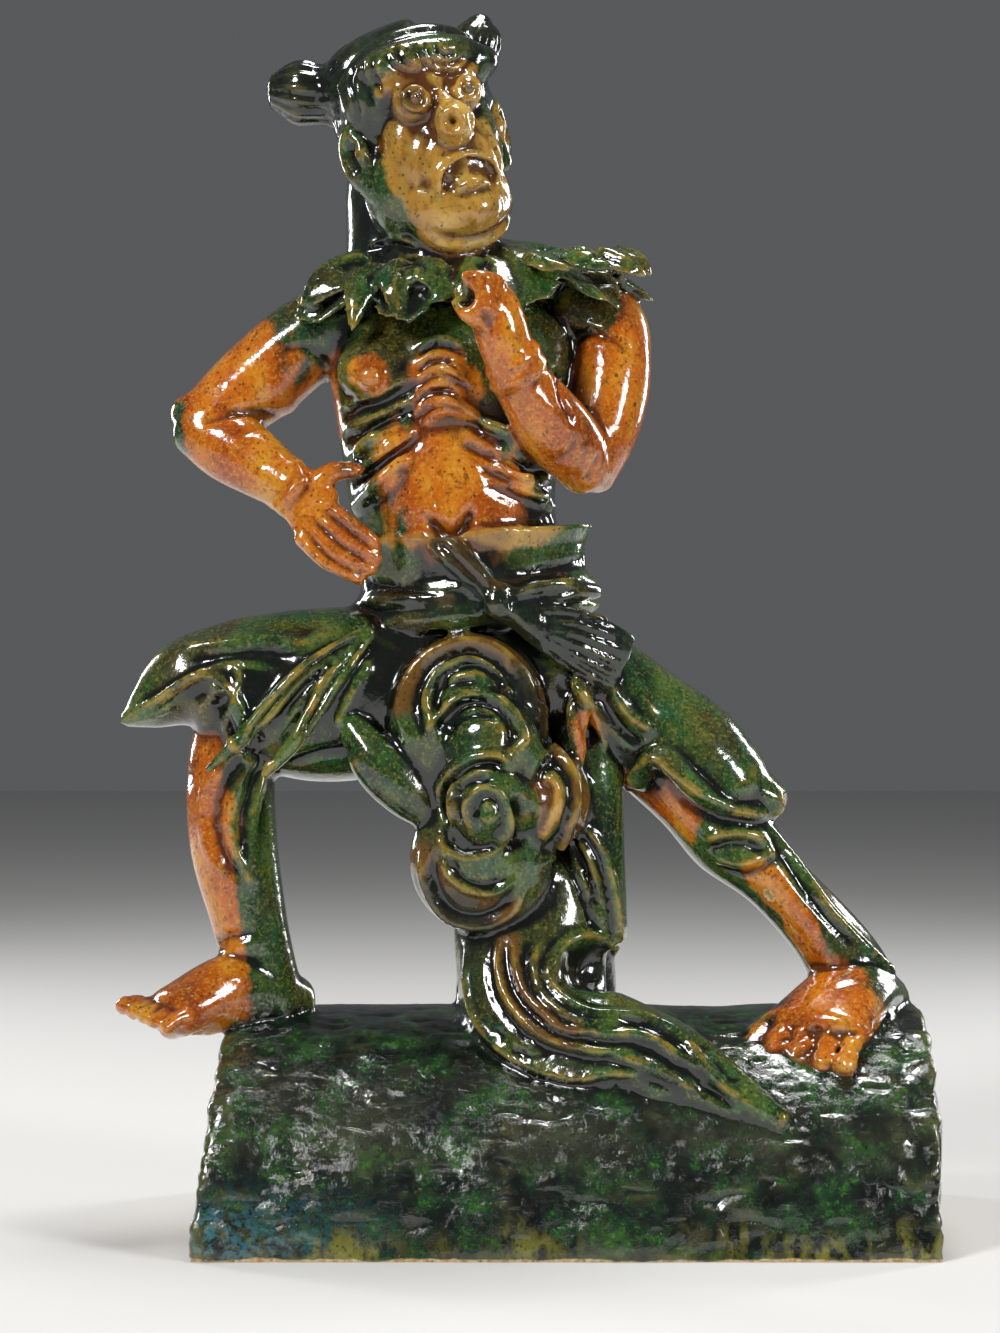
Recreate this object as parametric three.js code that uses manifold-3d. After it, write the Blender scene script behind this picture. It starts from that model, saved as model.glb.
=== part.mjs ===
// A glazed roof ridge figure: a wide-stepping guardian with a leaf collar, a knotted sash and
// bare feet, carried by a cloud scroll and standing on its own length of half-round ridge tile.
// The potter built tile, cloud and figure of one clay and fired them together, so it is one solid.
// Millimetres, +Z up. The figure faces -Y, and the tile's length lies along X.
import * as THREE from "three";
import { mergeVertices } from "three/addons/utils/BufferGeometryUtils.js";
import Module from "manifold-3d";

const wasm = await Module();
wasm.setup();

// Driving dimensions
const TILE_LENGTH = 243;
const TILE_RADIUS = 75;
const TILE_WALL = 17;
const TILE_END_LEAN = 9; // how far the left end is cut back at the crest
const FIGURE_HEIGHT = 343; // from the tile's crest to the top of the hair

// The figure is drawn at this height, measured from the tile's crest, and scaled to the real one.
const DRAWN_HEIGHT = 343;
const scale = FIGURE_HEIGHT / DRAWN_HEIGHT;

const VIEWER = new THREE.Vector3(0, -1, 0);
const UP = new THREE.Vector3(0, 0, 1);
const glaze = new THREE.MeshStandardMaterial({ color: 0x2f4a22, roughness: 0.2, metalness: 0 });

// A closed three.js geometry as a solid. Only its positions are kept, so that its seams close.
function solid(geometry) {
  const bare = geometry.index ? geometry.toNonIndexed() : geometry.clone();
  bare.deleteAttribute("normal");
  bare.deleteAttribute("uv");
  const merged = mergeVertices(bare, 1e-4);
  return new wasm.Manifold(
    new wasm.Mesh({
      numProp: 3,
      vertProperties: merged.attributes.position.array,
      triVerts: new Uint32Array(merged.index.array),
    }),
  );
}

// Moves every vertex of a geometry by a function of its position.
function reshape(geometry, move) {
  const position = geometry.attributes.position;
  const point = new THREE.Vector3();
  for (let i = 0; i < position.count; i++) {
    point.fromBufferAttribute(position, i);
    move(point);
    position.setXYZ(i, point.x, point.y, point.z);
  }
  return geometry;
}

// A limb bent along a smooth curve. Each station is [x, y, z, half width, half depth]: the depth
// is measured towards front, and the width across it. With a groove, every second line of
// vertices is drawn in by that share, which flutes the limb along its length; inFront is the
// share of the lines that lie on its front half. Its ends are blunt points that stand out from
// the last station by the tip's share of the thickness there.
const PLAIN = { sides: 8, steps: 5, front: VIEWER, groove: 0, inFront: 0.5, tip: 0.6 };

function limb(stations, settings) {
  const { sides, steps, front, groove, inFront, tip } = { ...PLAIN, ...settings };
  const centre = new THREE.CatmullRomCurve3(stations.map(([x, y, z]) => new THREE.Vector3(x, y, z)));
  const girth = new THREE.CatmullRomCurve3(
    stations.map(([, , , width, depth]) => new THREE.Vector3(width, depth, 0)),
  );
  const rings = steps + 2;
  return solid(
    reshape(new THREE.SphereGeometry(1, sides, rings), (point) => {
      const ring = Math.round((Math.acos(THREE.MathUtils.clamp(point.y, -1, 1)) / Math.PI) * rings);
      const line = Math.round((new THREE.Vector2(-point.x, point.z).angle() / (2 * Math.PI)) * sides);
      const round = (line / sides) % 1;
      const angle = round < inFront ? round / inFront : 1 + (round - inFront) / (1 - inFront);
      const along = THREE.MathUtils.clamp((ring - 1) / steps, 0, 1);
      const past = Math.round(ring - 1 - along * steps); // -1 and 1 at the two end points
      const tangent = centre.getTangent(along);
      const across = new THREE.Vector3().crossVectors(tangent, front).normalize();
      const deep = new THREE.Vector3().crossVectors(across, tangent).normalize();
      const half = girth.getPoint(along);
      const swell = past === 0 ? 1 - groove * (line % 2) : 0;
      const end = past * tip * Math.min(half.x, half.y);
      point
        .copy(centre.getPoint(along))
        .addScaledVector(tangent, end)
        .addScaledVector(across, Math.cos(angle * Math.PI) * half.x * swell)
        .addScaledVector(deep, Math.sin(angle * Math.PI) * half.y * swell);
    }),
  );
}

// A thin modelled ridge laid on the surface, its edge outwards, tapering at both ends.
function strip(points, radius, { steps = 4, taper = 0.45, sides = 4 } = {}) {
  const last = points.length - 1;
  const stations = points.map(([x, y, z], i) => {
    const r = radius * (i === 0 || i === last ? taper : 1);
    return [x, y, z, r, r];
  });
  return limb(stations, { sides, steps });
}

// An ellipsoid, turned by Euler angles in degrees.
function ball([x, y, z], [rx, ry, rz], { turned = [0, 0, 0], sides = 10, rings = 6 } = {}) {
  const geometry = new THREE.SphereGeometry(1, sides, rings).rotateX(Math.PI / 2).scale(rx, ry, rz);
  const turn = new THREE.Euler(...turned.map(THREE.MathUtils.degToRad), "ZYX");
  geometry.applyMatrix4(new THREE.Matrix4().makeRotationFromEuler(turn)).translate(x, y, z);
  return solid(geometry);
}

function join(solids) {
  return solids.flat(Infinity).reduce((all, next) => all.add(next));
}

const mix = THREE.MathUtils.lerp;

// The trunk: a lean bare body, its ribs standing out over a round belly.
function trunk() {
  const body = limb(
    [
      [-33, 0, 142, 37, 27],
      [-36, -2, 160, 34.5, 27],
      [-38, -3, 178, 36, 27],
      [-38.5, -2, 196, 38.5, 25],
      [-38, -2, 214, 42, 26.5],
      [-38, 0, 231, 43, 22],
      [-38, 1, 242, 34, 15],
    ],
    { sides: 12, steps: 6, tip: 0.2 },
  );
  const breast = ball([-62, -17, 217], [15, 11, 12], { sides: 8, rings: 5 });
  const nipple = ball([-65, -27, 214], [4.4, 4, 4.4], { sides: 5, rings: 3 });
  const ribs = [-1, 1].flatMap((side) =>
    [0, 1].map((row) => {
      const drop = row * 13;
      const centre = -39 + row * 1.4;
      return strip(
        [
          [centre + side * (13 + row * 2), -27, 197 - drop * 0.8],
          [centre + side * 24, -25, 191 - drop],
          [centre + side * (34.5 - row), -11, 184 - drop],
        ],
        4,
        { steps: 3 },
      );
    }),
  );
  const breastbone = [0, 1].map((row) =>
    strip(
      [
        [-46, -26, 211 - row * 11],
        [-38.5, -30, 215.5 - row * 11],
        [-30.5, -26, 211 - row * 11],
      ],
      3.6,
      { steps: 2 },
    ),
  );
  return [body, breast, nipple, ribs, breastbone];
}

// The head leans to the viewer's left and looks to the right, with hair in two side buns.
const HEAD = { x: -46, y: -4, z: 293.5, turn: 20, lean: -15 };
const headFrame = new THREE.Matrix4()
  .makeTranslation(HEAD.x, HEAD.y, HEAD.z)
  .multiply(new THREE.Matrix4().makeRotationY(THREE.MathUtils.degToRad(HEAD.lean)))
  .multiply(new THREE.Matrix4().makeRotationZ(THREE.MathUtils.degToRad(HEAD.turn)));

// A point given in the head's own frame, with the face towards -Y.
function onHead([x, y, z]) {
  return new THREE.Vector3(x, y, z).applyMatrix4(headFrame).toArray();
}

function headBall(place, radii, sides = 10, rings = 6) {
  return ball(onHead(place), radii, { turned: [0, HEAD.lean, HEAD.turn], sides, rings });
}

function headStrip(points, radius, settings) {
  return strip(points.map(onHead), radius, settings);
}

function head() {
  const face = headBall([1, -4, -6], [21, 21.5, 31], 12, 8);
  const jaw = headBall([2, -14, -19], [14.5, 12.5, 16], 9, 6);
  const nose = headBall([1, -28, 3], [6.6, 7.5, 7.5], 8, 5);
  const eyes = [-10, 9.5].map((x) => headBall([x, -23, 13.5], [6.8, 6.8, 6.8], 7, 5));
  const lips = headStrip(
    [[-10, -22, -20], [-6.5, -27, -11.5], [2, -30, -8.5], [10.5, -27, -11.5], [14, -21, -20]],
    3.4,
    { steps: 4 },
  );
  const mouth = headBall([2, -28, -14.5], [7.5, 6.5, 3], 6, 4);
  const brows = headStrip(
    [[-20, -17, 17], [-11, -25, 21.5], [0, -25, 18.5], [11, -25, 21.5], [20, -17, 17]],
    3.6,
    { steps: 4 },
  );
  const ears = [-27, 25].map((x) => headBall([x, -1, 3], [5, 6.5, 11], 6, 4));
  const hair = headBall([0, 5, 15], [28, 27.5, 21], 11, 6);
  const nape = limb(
    [
      [-58, 8, 302, 15, 15],
      [-61, 9, 280, 14, 15],
      [-60, 8, 264, 15, 16],
      [-57, 5, 246, 20, 17],
    ],
    { steps: 3 },
  );
  const neck = limb(
    [
      [-45, 0, 242, 20, 18],
      [-43, -4, 260, 18, 18],
      [-44, -5, 280, 16, 17],
    ],
    { steps: 2 },
  );
  const curls = [0, 1].map((row) =>
    headStrip(
      [
        [-7, -24.5 + row, 31 - row * 5],
        [2, -28.5 + row, 26 - row * 4],
        [11, -24 + row, 31 - row * 5],
      ],
      3.2,
      { steps: 2, taper: 0.7 },
    ),
  );
  const locks = [
    [[-10, -17, 34], [-14, -21, 28], [-15, -20, 20]],
    [[-19, -12, 31], [-22, -15, 25], [-23, -13, 17]],
  ].map((line) => headStrip(line, 4.4, { steps: 2 }));
  const crest = headStrip(
    [[-27, -6, 24], [-16, -10, 34], [1, -11, 37.5], [16, -9, 34.5], [25, -4, 27]],
    4.4,
    { taper: 0.7 },
  );
  const features = join([face, jaw, nose, eyes, lips, brows]).subtract(mouth);
  return [features, ears, hair, nape, neck, curls, locks, crest, buns()];
}

// The two side buns, combed in flutes from the head to the tip.
function buns() {
  const flutes = { sides: 12, steps: 3, groove: 0.14, tip: 0.4 };
  const left = limb(
    [
      [-72, 3, 311, 10, 10],
      [-82, 3, 313, 10, 10],
      [-91, 3, 314.5, 11.5, 11.5],
      [-99.5, 3, 315, 7, 7],
    ],
    { ...flutes, front: UP },
  );
  const right = limb(
    [
      [-35, 5, 318, 7, 7],
      [-31, 5, 327, 8.4, 8.4],
      [-29, 6, 335, 8.6, 8.6],
      [-28, 6, 341, 4.5, 4.5],
    ],
    flutes,
  );
  return [left, right];
}

// The collar: a drooping cape of pointed leaves round the neck, over the shoulders.
const COLLAR = { x: -34.5, y: 0, z: 259, halfWidth: 62, halfDepth: 33, thick: 5, leaves: 10 };

function collar() {
  const geometry = new THREE.SphereGeometry(1, COLLAR.leaves * 3, 5).rotateX(Math.PI / 2);
  reshape(geometry, (point) => {
    const spoke = Math.atan2(point.y, point.x);
    const reach = Math.hypot(point.x, point.y);
    const leaf = Math.abs(Math.cos((spoke * COLLAR.leaves) / 2)); // 1 on a leaf's rib, 0 between two
    const tip = reach ** 3 * (leaf - 0.5);
    const out = reach * (1 + 0.12 * tip);
    const lean = Math.cos(spoke) * 4 * reach; // the right shoulder is the higher one
    const droop = 15 * reach ** 2.4 + 12 * tip + 6 * reach * Math.abs(Math.sin(spoke));
    point.set(
      COLLAR.x + Math.cos(spoke) * out * COLLAR.halfWidth,
      COLLAR.y + Math.sin(spoke) * out * COLLAR.halfDepth,
      COLLAR.z + lean - droop + point.z * COLLAR.thick,
    );
  });
  return solid(geometry);
}

// The viewer's left arm is set akimbo, its hand spread on the hip.
function armOnHip() {
  const upper = limb(
    [
      [-66, 1, 237, 14, 15],
      [-86, 1, 230, 15, 14.5],
      [-103, 0, 216, 15, 14],
      [-118, -3, 204, 12.6, 12.5],
      [-129, -4, 200, 9, 9],
    ],
    { steps: 4 },
  );
  const fore = limb(
    [
      [-125, -5, 199, 11, 11],
      [-114, -10, 192, 12.6, 11.5],
      [-102, -15, 184, 11, 10],
      [-92, -20, 177, 8.6, 8.4],
    ],
    { steps: 3 },
  );
  const cuff = limb([[-93.5, -20.5, 177, 10, 9.6], [-89.5, -22.5, 174, 10, 9.6]], { steps: 1, tip: 0.2 });
  const palm = limb([[-88, -23, 173, 8.5, 6.5], [-80, -27, 167, 12, 6], [-72, -29, 160, 10.5, 5.5]], {
    steps: 2,
  });
  const fingers = [0, 1, 2, 3].map((i) =>
    limb(
      [
        [-78 - i * 2.2, -29 - i * 0.2, 168 - i * 3.9, 3.4, 4.4],
        [-70.5 - i * 1.4, -31, 162 - i * 4, 3.2, 3.8],
        [-62 - i * 2.2, -28.5, 155 - i * 3.8, 2.4, 2.8],
      ],
      { sides: 4, steps: 2 },
    ),
  );
  const thumb = limb([[-84, -25, 175, 4.4, 4.6], [-79, -25, 181.5, 3.8, 3.8], [-70, -22, 183, 2.8, 3.4]], {
    sides: 5,
    steps: 2,
  });
  return [upper, fore, cuff, palm, fingers, thumb];
}

// The viewer's right arm is drawn up to the chest, its fist bored to hold a staff now lost.
function armAtChest() {
  const upper = limb(
    [
      [2, 2, 238, 13, 13],
      [14.5, 1, 234, 14, 14],
      [17, -3, 222, 13.5, 14],
      [15.5, -7, 208, 13.6, 14],
      [12, -12, 193, 12, 12.5],
      [9, -15, 181, 8.5, 9],
    ],
    { steps: 4 },
  );
  const fore = limb(
    [
      [8, -17, 183, 9.5, 10],
      [2, -24, 191, 12, 11.5],
      [-6, -32, 200, 12, 11.5],
      [-16, -39, 213, 9.2, 9],
    ],
    { steps: 3 },
  );
  const bangle = limb([[-15, -39.5, 213, 10.4, 10.6], [-18.5, -42, 218, 10.4, 10.6]], { steps: 1, tip: 0.2 });
  const fist = limb(
    [
      [-18, -42, 217, 8.2, 9],
      [-21, -44, 227, 9.2, 9.6],
      [-24, -44, 237, 8.4, 8.8],
      [-26, -43, 243, 5.5, 6.5],
    ],
    { steps: 2 },
  );
  const thumb = limb(
    [
      [-25, -46, 227, 3.6, 4],
      [-32, -50, 232, 4.2, 4],
      [-33, -49, 240, 4.4, 4],
      [-28, -48, 243, 3.4, 3.6],
    ],
    { sides: 6, steps: 3 },
  );
  const socket = limb([[-32, -60, 237, 2.4, 2.4], [-27, -40, 235, 2.4, 2.4]], { sides: 6, steps: 1, front: UP });
  return [upper, fore, bangle, join([fist, thumb]).subtract(socket)];
}

// Full trousers, hitched to the knee: one thigh raised sideways, the other striding down.
function trousers() {
  const raised = limb(
    [
      [-36, 0, 112, 27, 25],
      [-58, -1, 109, 29, 27],
      [-80, -5, 107, 30, 27],
      [-97, -8, 108, 28, 25],
      [-114, -11, 110, 23, 21],
      [-129, -13, 110, 16, 16],
      [-141, -15, 103, 8.5, 9],
      [-148, -16, 98.5, 3, 4],
    ],
    { sides: 10, steps: 7 },
  );
  const striding = limb(
    [
      [-24, 0, 118, 28, 25],
      [-4, 0, 113, 26, 25],
      [14, -1, 106, 21, 23],
      [30, -3, 96, 19.5, 21],
      [44, -5, 86, 19.5, 20],
      [57, -6, 76, 19, 19],
    ],
    { sides: 10, steps: 4 },
  );
  const leftFolds = [
    [[-119, -33, 82], [-104, -36, 96], [-88, -35, 114], [-66, -28, 130]],
    [[-100, -36, 80], [-88, -37, 94], [-77, -34, 112], [-64, -28, 128]],
    [[-149, -18, 98], [-136, -25, 103], [-121, -31, 112], [-110, -32, 104], [-106, -30, 90]],
  ].map((line) => strip(line, 4, { steps: 3 }));
  const rightFold = strip([[12, -25, 124], [5, -28, 104], [5, -27, 84]], 4.4, { steps: 2 });
  const hem = strip([[25, -15, 77], [32, -23, 86], [46, -24, 74], [60, -19, 67], [70, -10, 70]], 5, {
    steps: 5,
    taper: 0.8,
  });
  return [raised, striding, leftFolds, rightFold, hem];
}

// Bare legs: the raised knee's shin stands upright, the other runs out to the tile's far end.
function legs() {
  const shin = limb(
    [
      [-111, -12, 96, 14, 14],
      [-113, -13, 80, 15, 14],
      [-112, -13, 56, 15, 14],
      [-107, -14, 32, 13, 12.5],
      [-104, -14, 18, 12.5, 12],
      [-102, -12, 2, 14.5, 13],
    ],
    { steps: 4 },
  );
  const striding = limb(
    [
      [28, -3, 86, 13, 14],
      [43, -5, 72, 12.8, 13.5],
      [57, -6, 59, 15, 16],
      [72, -6, 44, 11.3, 12],
      [88, -6, 27, 11.8, 12],
      [97, -6, 14, 13.5, 13],
      [103, -4, 0, 15, 13.5],
    ],
    { steps: 6 },
  );
  const tendon = strip([[66, -4, 62], [83, -8, 47], [98, -10, 30], [110, -8, 12]], 4, { steps: 3 });
  return [shin, striding, tendon];
}

// A bare foot from heel to ball, with five toes spread over the given width from side to side.
function foot(stations, toeEnds, width, toeLength, toeRadius) {
  const sole = limb(stations, { steps: 2, front: UP });
  const [instep, front] = stations.slice(-2).map(([x, y, z]) => new THREE.Vector3(x, y, z));
  const forward = front.clone().sub(instep).setZ(0).normalize();
  const sideways = new THREE.Vector3(-forward.y, forward.x, 0);
  const toes = [0, 1, 2, 3, 4].map((i) => {
    const share = i / 4;
    const root = front.clone().addScaledVector(sideways, (share - 0.5) * width);
    const tip = root.clone().addScaledVector(forward, toeLength * (1 - 0.22 * share));
    tip.z = mix(toeEnds[0], toeEnds[1], share);
    const r = toeRadius * (1 - 0.07 * i);
    return limb([root, tip].map((p) => [...p.toArray(), r, r]), { sides: 4, steps: 1, front: UP, tip: 0.8 });
  });
  return [sole, toes];
}

function feet() {
  const left = foot(
    [
      [-92, -6, 2, 11, 9],
      [-110, -19, 7, 13, 13],
      [-128, -32, 2, 13, 9.5],
    ],
    [2, -1],
    -19,
    19,
    4.2,
  );
  const right = foot(
    [
      [108, 4, 2, 13, 10],
      [98, -12, 4, 16, 13],
      [84, -31, -4, 21, 9],
    ],
    [-12, -15],
    33,
    14,
    5.4,
  );
  return [left, right];
}

// The sash: a waistband turned out at the top over two cords, a knot, two loops and a pleated tail.
const SASH = { x: -30.5, z: 150, halfDepthShare: 0.74, tip: -5 };

function sash() {
  // Half width and height of the wrap's outline, from its lower edge to the turned-out rim
  const outline = [
    [0, -21],
    [38, -20],
    [42.5, -16],
    [39.5, -12],
    [42.5, -8],
    [38.5, -4],
    [39, 6],
    [42.5, 12],
    [0, 11],
  ];
  const wrap = new THREE.LatheGeometry(outline.map(([r, z]) => new THREE.Vector2(r, z)), 16)
    .rotateX(Math.PI / 2)
    .scale(1, SASH.halfDepthShare, 1)
    .rotateY(THREE.MathUtils.degToRad(SASH.tip))
    .translate(SASH.x, 0, SASH.z);
  const knot = ball([-21.5, -33, 138.5], [6, 5.5, 7], { sides: 6, rings: 4 });
  const loop = limb(
    [
      [-23, -33, 140, 3.4, 3.2],
      [-31, -33, 148, 5, 3.8],
      [-38, -32, 155, 5.4, 3.8],
      [-43, -29, 158, 3.4, 3],
    ],
    { sides: 6, steps: 3 },
  );
  const bow = limb(
    [
      [-19, -33, 139, 3, 3.4],
      [-9, -30, 141, 4.6, 5.4],
      [2, -26, 142, 4.2, 5.4],
      [11, -18, 142, 2.8, 3],
    ],
    { sides: 6, steps: 3 },
  );
  const tail = limb(
    [
      [-21, -32, 136, 3.4, 3],
      [-7, -32, 130, 8, 3.6],
      [7, -30, 124, 11, 3.8],
      [19, -25, 118, 10.5, 3.4],
    ],
    { sides: 12, steps: 2, groove: 0.35, inFront: 0.75 },
  );
  return [solid(wrap), knot, loop, bow, tail];
}

// A raised scroll: an arc or spiral of a strip round a centre, from one angle and radius to another.
function scroll([x, y, z], [startAngle, endAngle], [startRadius, endRadius], thick, lift = 0) {
  const count = Math.max(3, Math.round(Math.abs(endAngle - startAngle) / 40));
  const points = Array.from({ length: count + 1 }, (_, i) => {
    const share = i / count;
    const angle = THREE.MathUtils.degToRad(mix(startAngle, endAngle, share));
    const radius = mix(startRadius, endRadius, share);
    return [x + Math.cos(angle) * radius, y - lift * share, z + Math.sin(angle) * radius];
  });
  return strip(points, thick, { steps: count, taper: 0.6 });
}

// The cloud scroll that fills the space before the figure and carries its weight.
function cloud() {
  const lobes = [
    ball([-32, -28, 97], [27, 14, 31], { sides: 10, rings: 5 }),
    ball([-24, -36, 88], [17, 13, 20], { sides: 8, rings: 5 }),
    ball([-24, -40, 71], [14, 14, 14], { sides: 8, rings: 5 }),
    ball([-28, -28, 52], [24, 14, 25], { sides: 10, rings: 5 }),
    ball([-5, -28, 72], [14, 13, 17], { sides: 8, rings: 5 }),
  ];
  const upper = [0, 1].map((i) =>
    scroll([-31, -39 - i * 2.5, 98], [195, -15], [27 - i * 9.5, 25 - i * 8], 4.8),
  );
  const middle = scroll([-23, -46, 89], [215, -15], [14.5, 14], 4);
  const spiral = scroll([-24, -51, 70], [170, 600], [14, 3], 3.6, 2);
  const lower = [0, 1].map((i) => scroll([-28, -39 - i * 3, 55], [178, 372], [23 - i * 9, 19 - i * 7], 4.6));
  const right = scroll([-4, -39, 71], [95, -85], [12, 14], 4);
  const wisp = strip([[-72, -28, 98], [-63, -30, 85], [-52, -30, 74], [-42, -28, 64]], 9, { steps: 3 });
  return [lobes, upper, middle, spiral, lower, right, wisp];
}

// Below the cloud its vapour falls in flutes to the tile and trails away to one side.
function trail() {
  const column = limb(
    [
      [-8, 4, 88, 24, 18],
      [-8, 4, 60, 26, 18],
      [-9, 3, 30, 27, 19],
      [-9, 2, -6, 28, 22],
    ],
    { sides: 10, steps: 3, tip: 0.1 },
  );
  const stream = limb(
    [
      [-10, -12, 44, 26, 16],
      [-11, -16, 22, 26, 19],
      [-7, -28, -2, 25, 21],
      [10, -38, -12, 23, 18],
      [29, -44, -17, 19, 14],
      [49, -52, -23, 13, 9],
      [71, -62, -31, 4, 4],
    ],
    { sides: 20, steps: 7, groove: 0.17, inFront: 0.8 },
  );
  const curtain = limb(
    [
      [9, -14, 78, 11, 9],
      [10, -14, 52, 11, 10],
      [12, -14, 26, 10, 10],
    ],
    { sides: 10, steps: 2, groove: 0.25, inFront: 0.8 },
  );
  const hollow = ball([9, -29, 17], [9.5, 10, 10], { sides: 9, rings: 5 });
  const rim = scroll([9, -28, 17], [10, 200], [11.5, 11.5], 3.2);
  return join([column, stream, curtain, rim]).subtract(hollow);
}

// The half-round ridge tile: an arch of even wall, resting on its two long rims.
function ridgeTile() {
  const section = new THREE.Shape();
  section.absarc(0, 0, TILE_RADIUS, 0, Math.PI, false);
  section.lineTo(-TILE_RADIUS + TILE_WALL, 0);
  section.absarc(0, 0, TILE_RADIUS - TILE_WALL, Math.PI, 0, true);
  section.closePath();
  const geometry = new THREE.ExtrudeGeometry(section, {
    depth: TILE_LENGTH,
    bevelEnabled: false,
    curveSegments: 18,
  });
  geometry.translate(0, 0, -TILE_LENGTH / 2).rotateX(Math.PI / 2).rotateZ(Math.PI / 2);
  reshape(geometry, (point) => {
    if (point.x < 0) point.x += (TILE_END_LEAN * point.z) / TILE_RADIUS;
  });
  return solid(geometry);
}

const figureParts = [
  trunk(),
  head(),
  collar(),
  armOnHip(),
  armAtChest(),
  trousers(),
  legs(),
  feet(),
  sash(),
  cloud(),
  trail(),
];
const figure = join(figureParts).scale(scale).translate([0, 0, TILE_RADIUS]);

// Nothing of the figure may hang into the hollow of the tile.
const hollow = solid(
  new THREE.CylinderGeometry(TILE_RADIUS - TILE_WALL, TILE_RADIUS - TILE_WALL, TILE_LENGTH * 2, 48)
    .rotateZ(Math.PI / 2),
);
const whole = join([ridgeTile(), figure.subtract(hollow)]);

const made = whole.getMesh();
const geometry = new THREE.BufferGeometry()
  .setAttribute("position", new THREE.BufferAttribute(made.vertProperties, 3))
  .setIndex(new THREE.BufferAttribute(made.triVerts, 1));
geometry.computeVertexNormals();

const ridgeFigure = new THREE.Mesh(geometry, glaze);
ridgeFigure.name = "roof_ridge_figure";

// The origin is the middle of the footprint, on the surface that the rims rest on.
const { min, max } = whole.boundingBox();
const part = new THREE.Group();
part.position.set(-(min[0] + max[0]) / 2, -(min[1] + max[1]) / 2, 0);
part.add(ridgeFigure);

export default part;
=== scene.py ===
import math

import bmesh
import bpy
import numpy as np
from mathutils import Matrix, Vector, noise
from mathutils.bvhtree import BVHTree


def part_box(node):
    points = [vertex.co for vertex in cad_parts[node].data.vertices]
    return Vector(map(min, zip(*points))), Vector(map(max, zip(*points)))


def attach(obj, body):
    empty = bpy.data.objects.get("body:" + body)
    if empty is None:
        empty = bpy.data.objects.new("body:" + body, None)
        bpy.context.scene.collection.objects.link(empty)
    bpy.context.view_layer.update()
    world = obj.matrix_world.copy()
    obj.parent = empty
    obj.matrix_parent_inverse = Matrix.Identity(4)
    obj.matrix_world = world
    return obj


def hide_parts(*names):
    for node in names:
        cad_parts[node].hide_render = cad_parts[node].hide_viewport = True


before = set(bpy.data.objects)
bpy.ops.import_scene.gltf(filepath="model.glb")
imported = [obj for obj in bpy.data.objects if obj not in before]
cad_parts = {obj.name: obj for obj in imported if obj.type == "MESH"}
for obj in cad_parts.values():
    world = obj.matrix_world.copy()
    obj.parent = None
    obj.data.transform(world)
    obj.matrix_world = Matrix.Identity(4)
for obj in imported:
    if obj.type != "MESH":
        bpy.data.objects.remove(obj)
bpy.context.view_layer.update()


# The ridge tile. A half-round tile of coarse clay, beaten over a drum and left rough from the hand.
# It stands on its two long rims, and everything else is luted to its crest while the clay is wet.
MM = 0.001
TILE_LENGTH = 243
TILE_RADIUS = 75
TILE_WALL = 17
TILE_END_LEAN = 9  # how far the left end is cut back at the crest
low_corner, high_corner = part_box("roof_ridge_figure")
CREST = Vector((high_corner.x - TILE_LENGTH / 2 * MM, 0, TILE_RADIUS * MM))

clay = bmesh.new()  # the clay on the bench, in millimetres from the middle of the crest
lumps = {}  # what has been shaped so far, by name


def set_aside(name):
    """Sets the clay on the bench aside under a name, and clears the bench."""
    lumps[name] = bpy.data.meshes.new(name)
    clay.to_mesh(lumps[name])
    clay.clear()


wall = [
    clay.verts.new((x, y, -TILE_RADIUS))
    for x, y in (
        (-TILE_LENGTH / 2, TILE_RADIUS),
        (TILE_LENGTH / 2, TILE_RADIUS),
        (TILE_LENGTH / 2, TILE_RADIUS - TILE_WALL),
        (-TILE_LENGTH / 2, TILE_RADIUS - TILE_WALL),
    )
]
clay.faces.new(wall)
bmesh.ops.spin(
    clay,
    geom=clay.verts[:] + clay.edges[:] + clay.faces[:],
    cent=(0, 0, -TILE_RADIUS),
    axis=(1, 0, 0),
    angle=math.pi,
    steps=60,
)
bmesh.ops.recalc_face_normals(clay, faces=clay.faces[:])
for vertex in clay.verts:
    if vertex.co.x < 0:
        vertex.co.x += TILE_END_LEAN * (vertex.co.z + TILE_RADIUS) / TILE_RADIUS
set_aside("tile")


# The prop and the trail of vapour. A round prop carries the figure, and in front of it slabs of clay
# fall from the cloud in combed flutes, sweep over the tile's crest and run out to a point, with a
# thumbed pocket at the bend.
VIEWER = Vector((0, -1, 0))
UP = Vector((0, 0, 1))
tooling = []  # lines drawn on the joined clay: points, half width, height


def along_curve(points, share):
    """The point at a share of the way along a smooth curve through the given points."""
    spans = len(points) - 1
    first = min(int(share * spans), spans - 1)
    t = share * spans - first
    b, c = points[first], points[first + 1]
    a = points[first - 1] if first > 0 else 2 * b - c
    d = points[first + 2] if first + 2 <= spans else 2 * c - b
    cubic = (3 * b - a - 3 * c + d) * t**3
    return 0.5 * (2 * b + (c - a) * t + (2 * a - 5 * b + 4 * c - d) * t * t + cubic)


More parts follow.
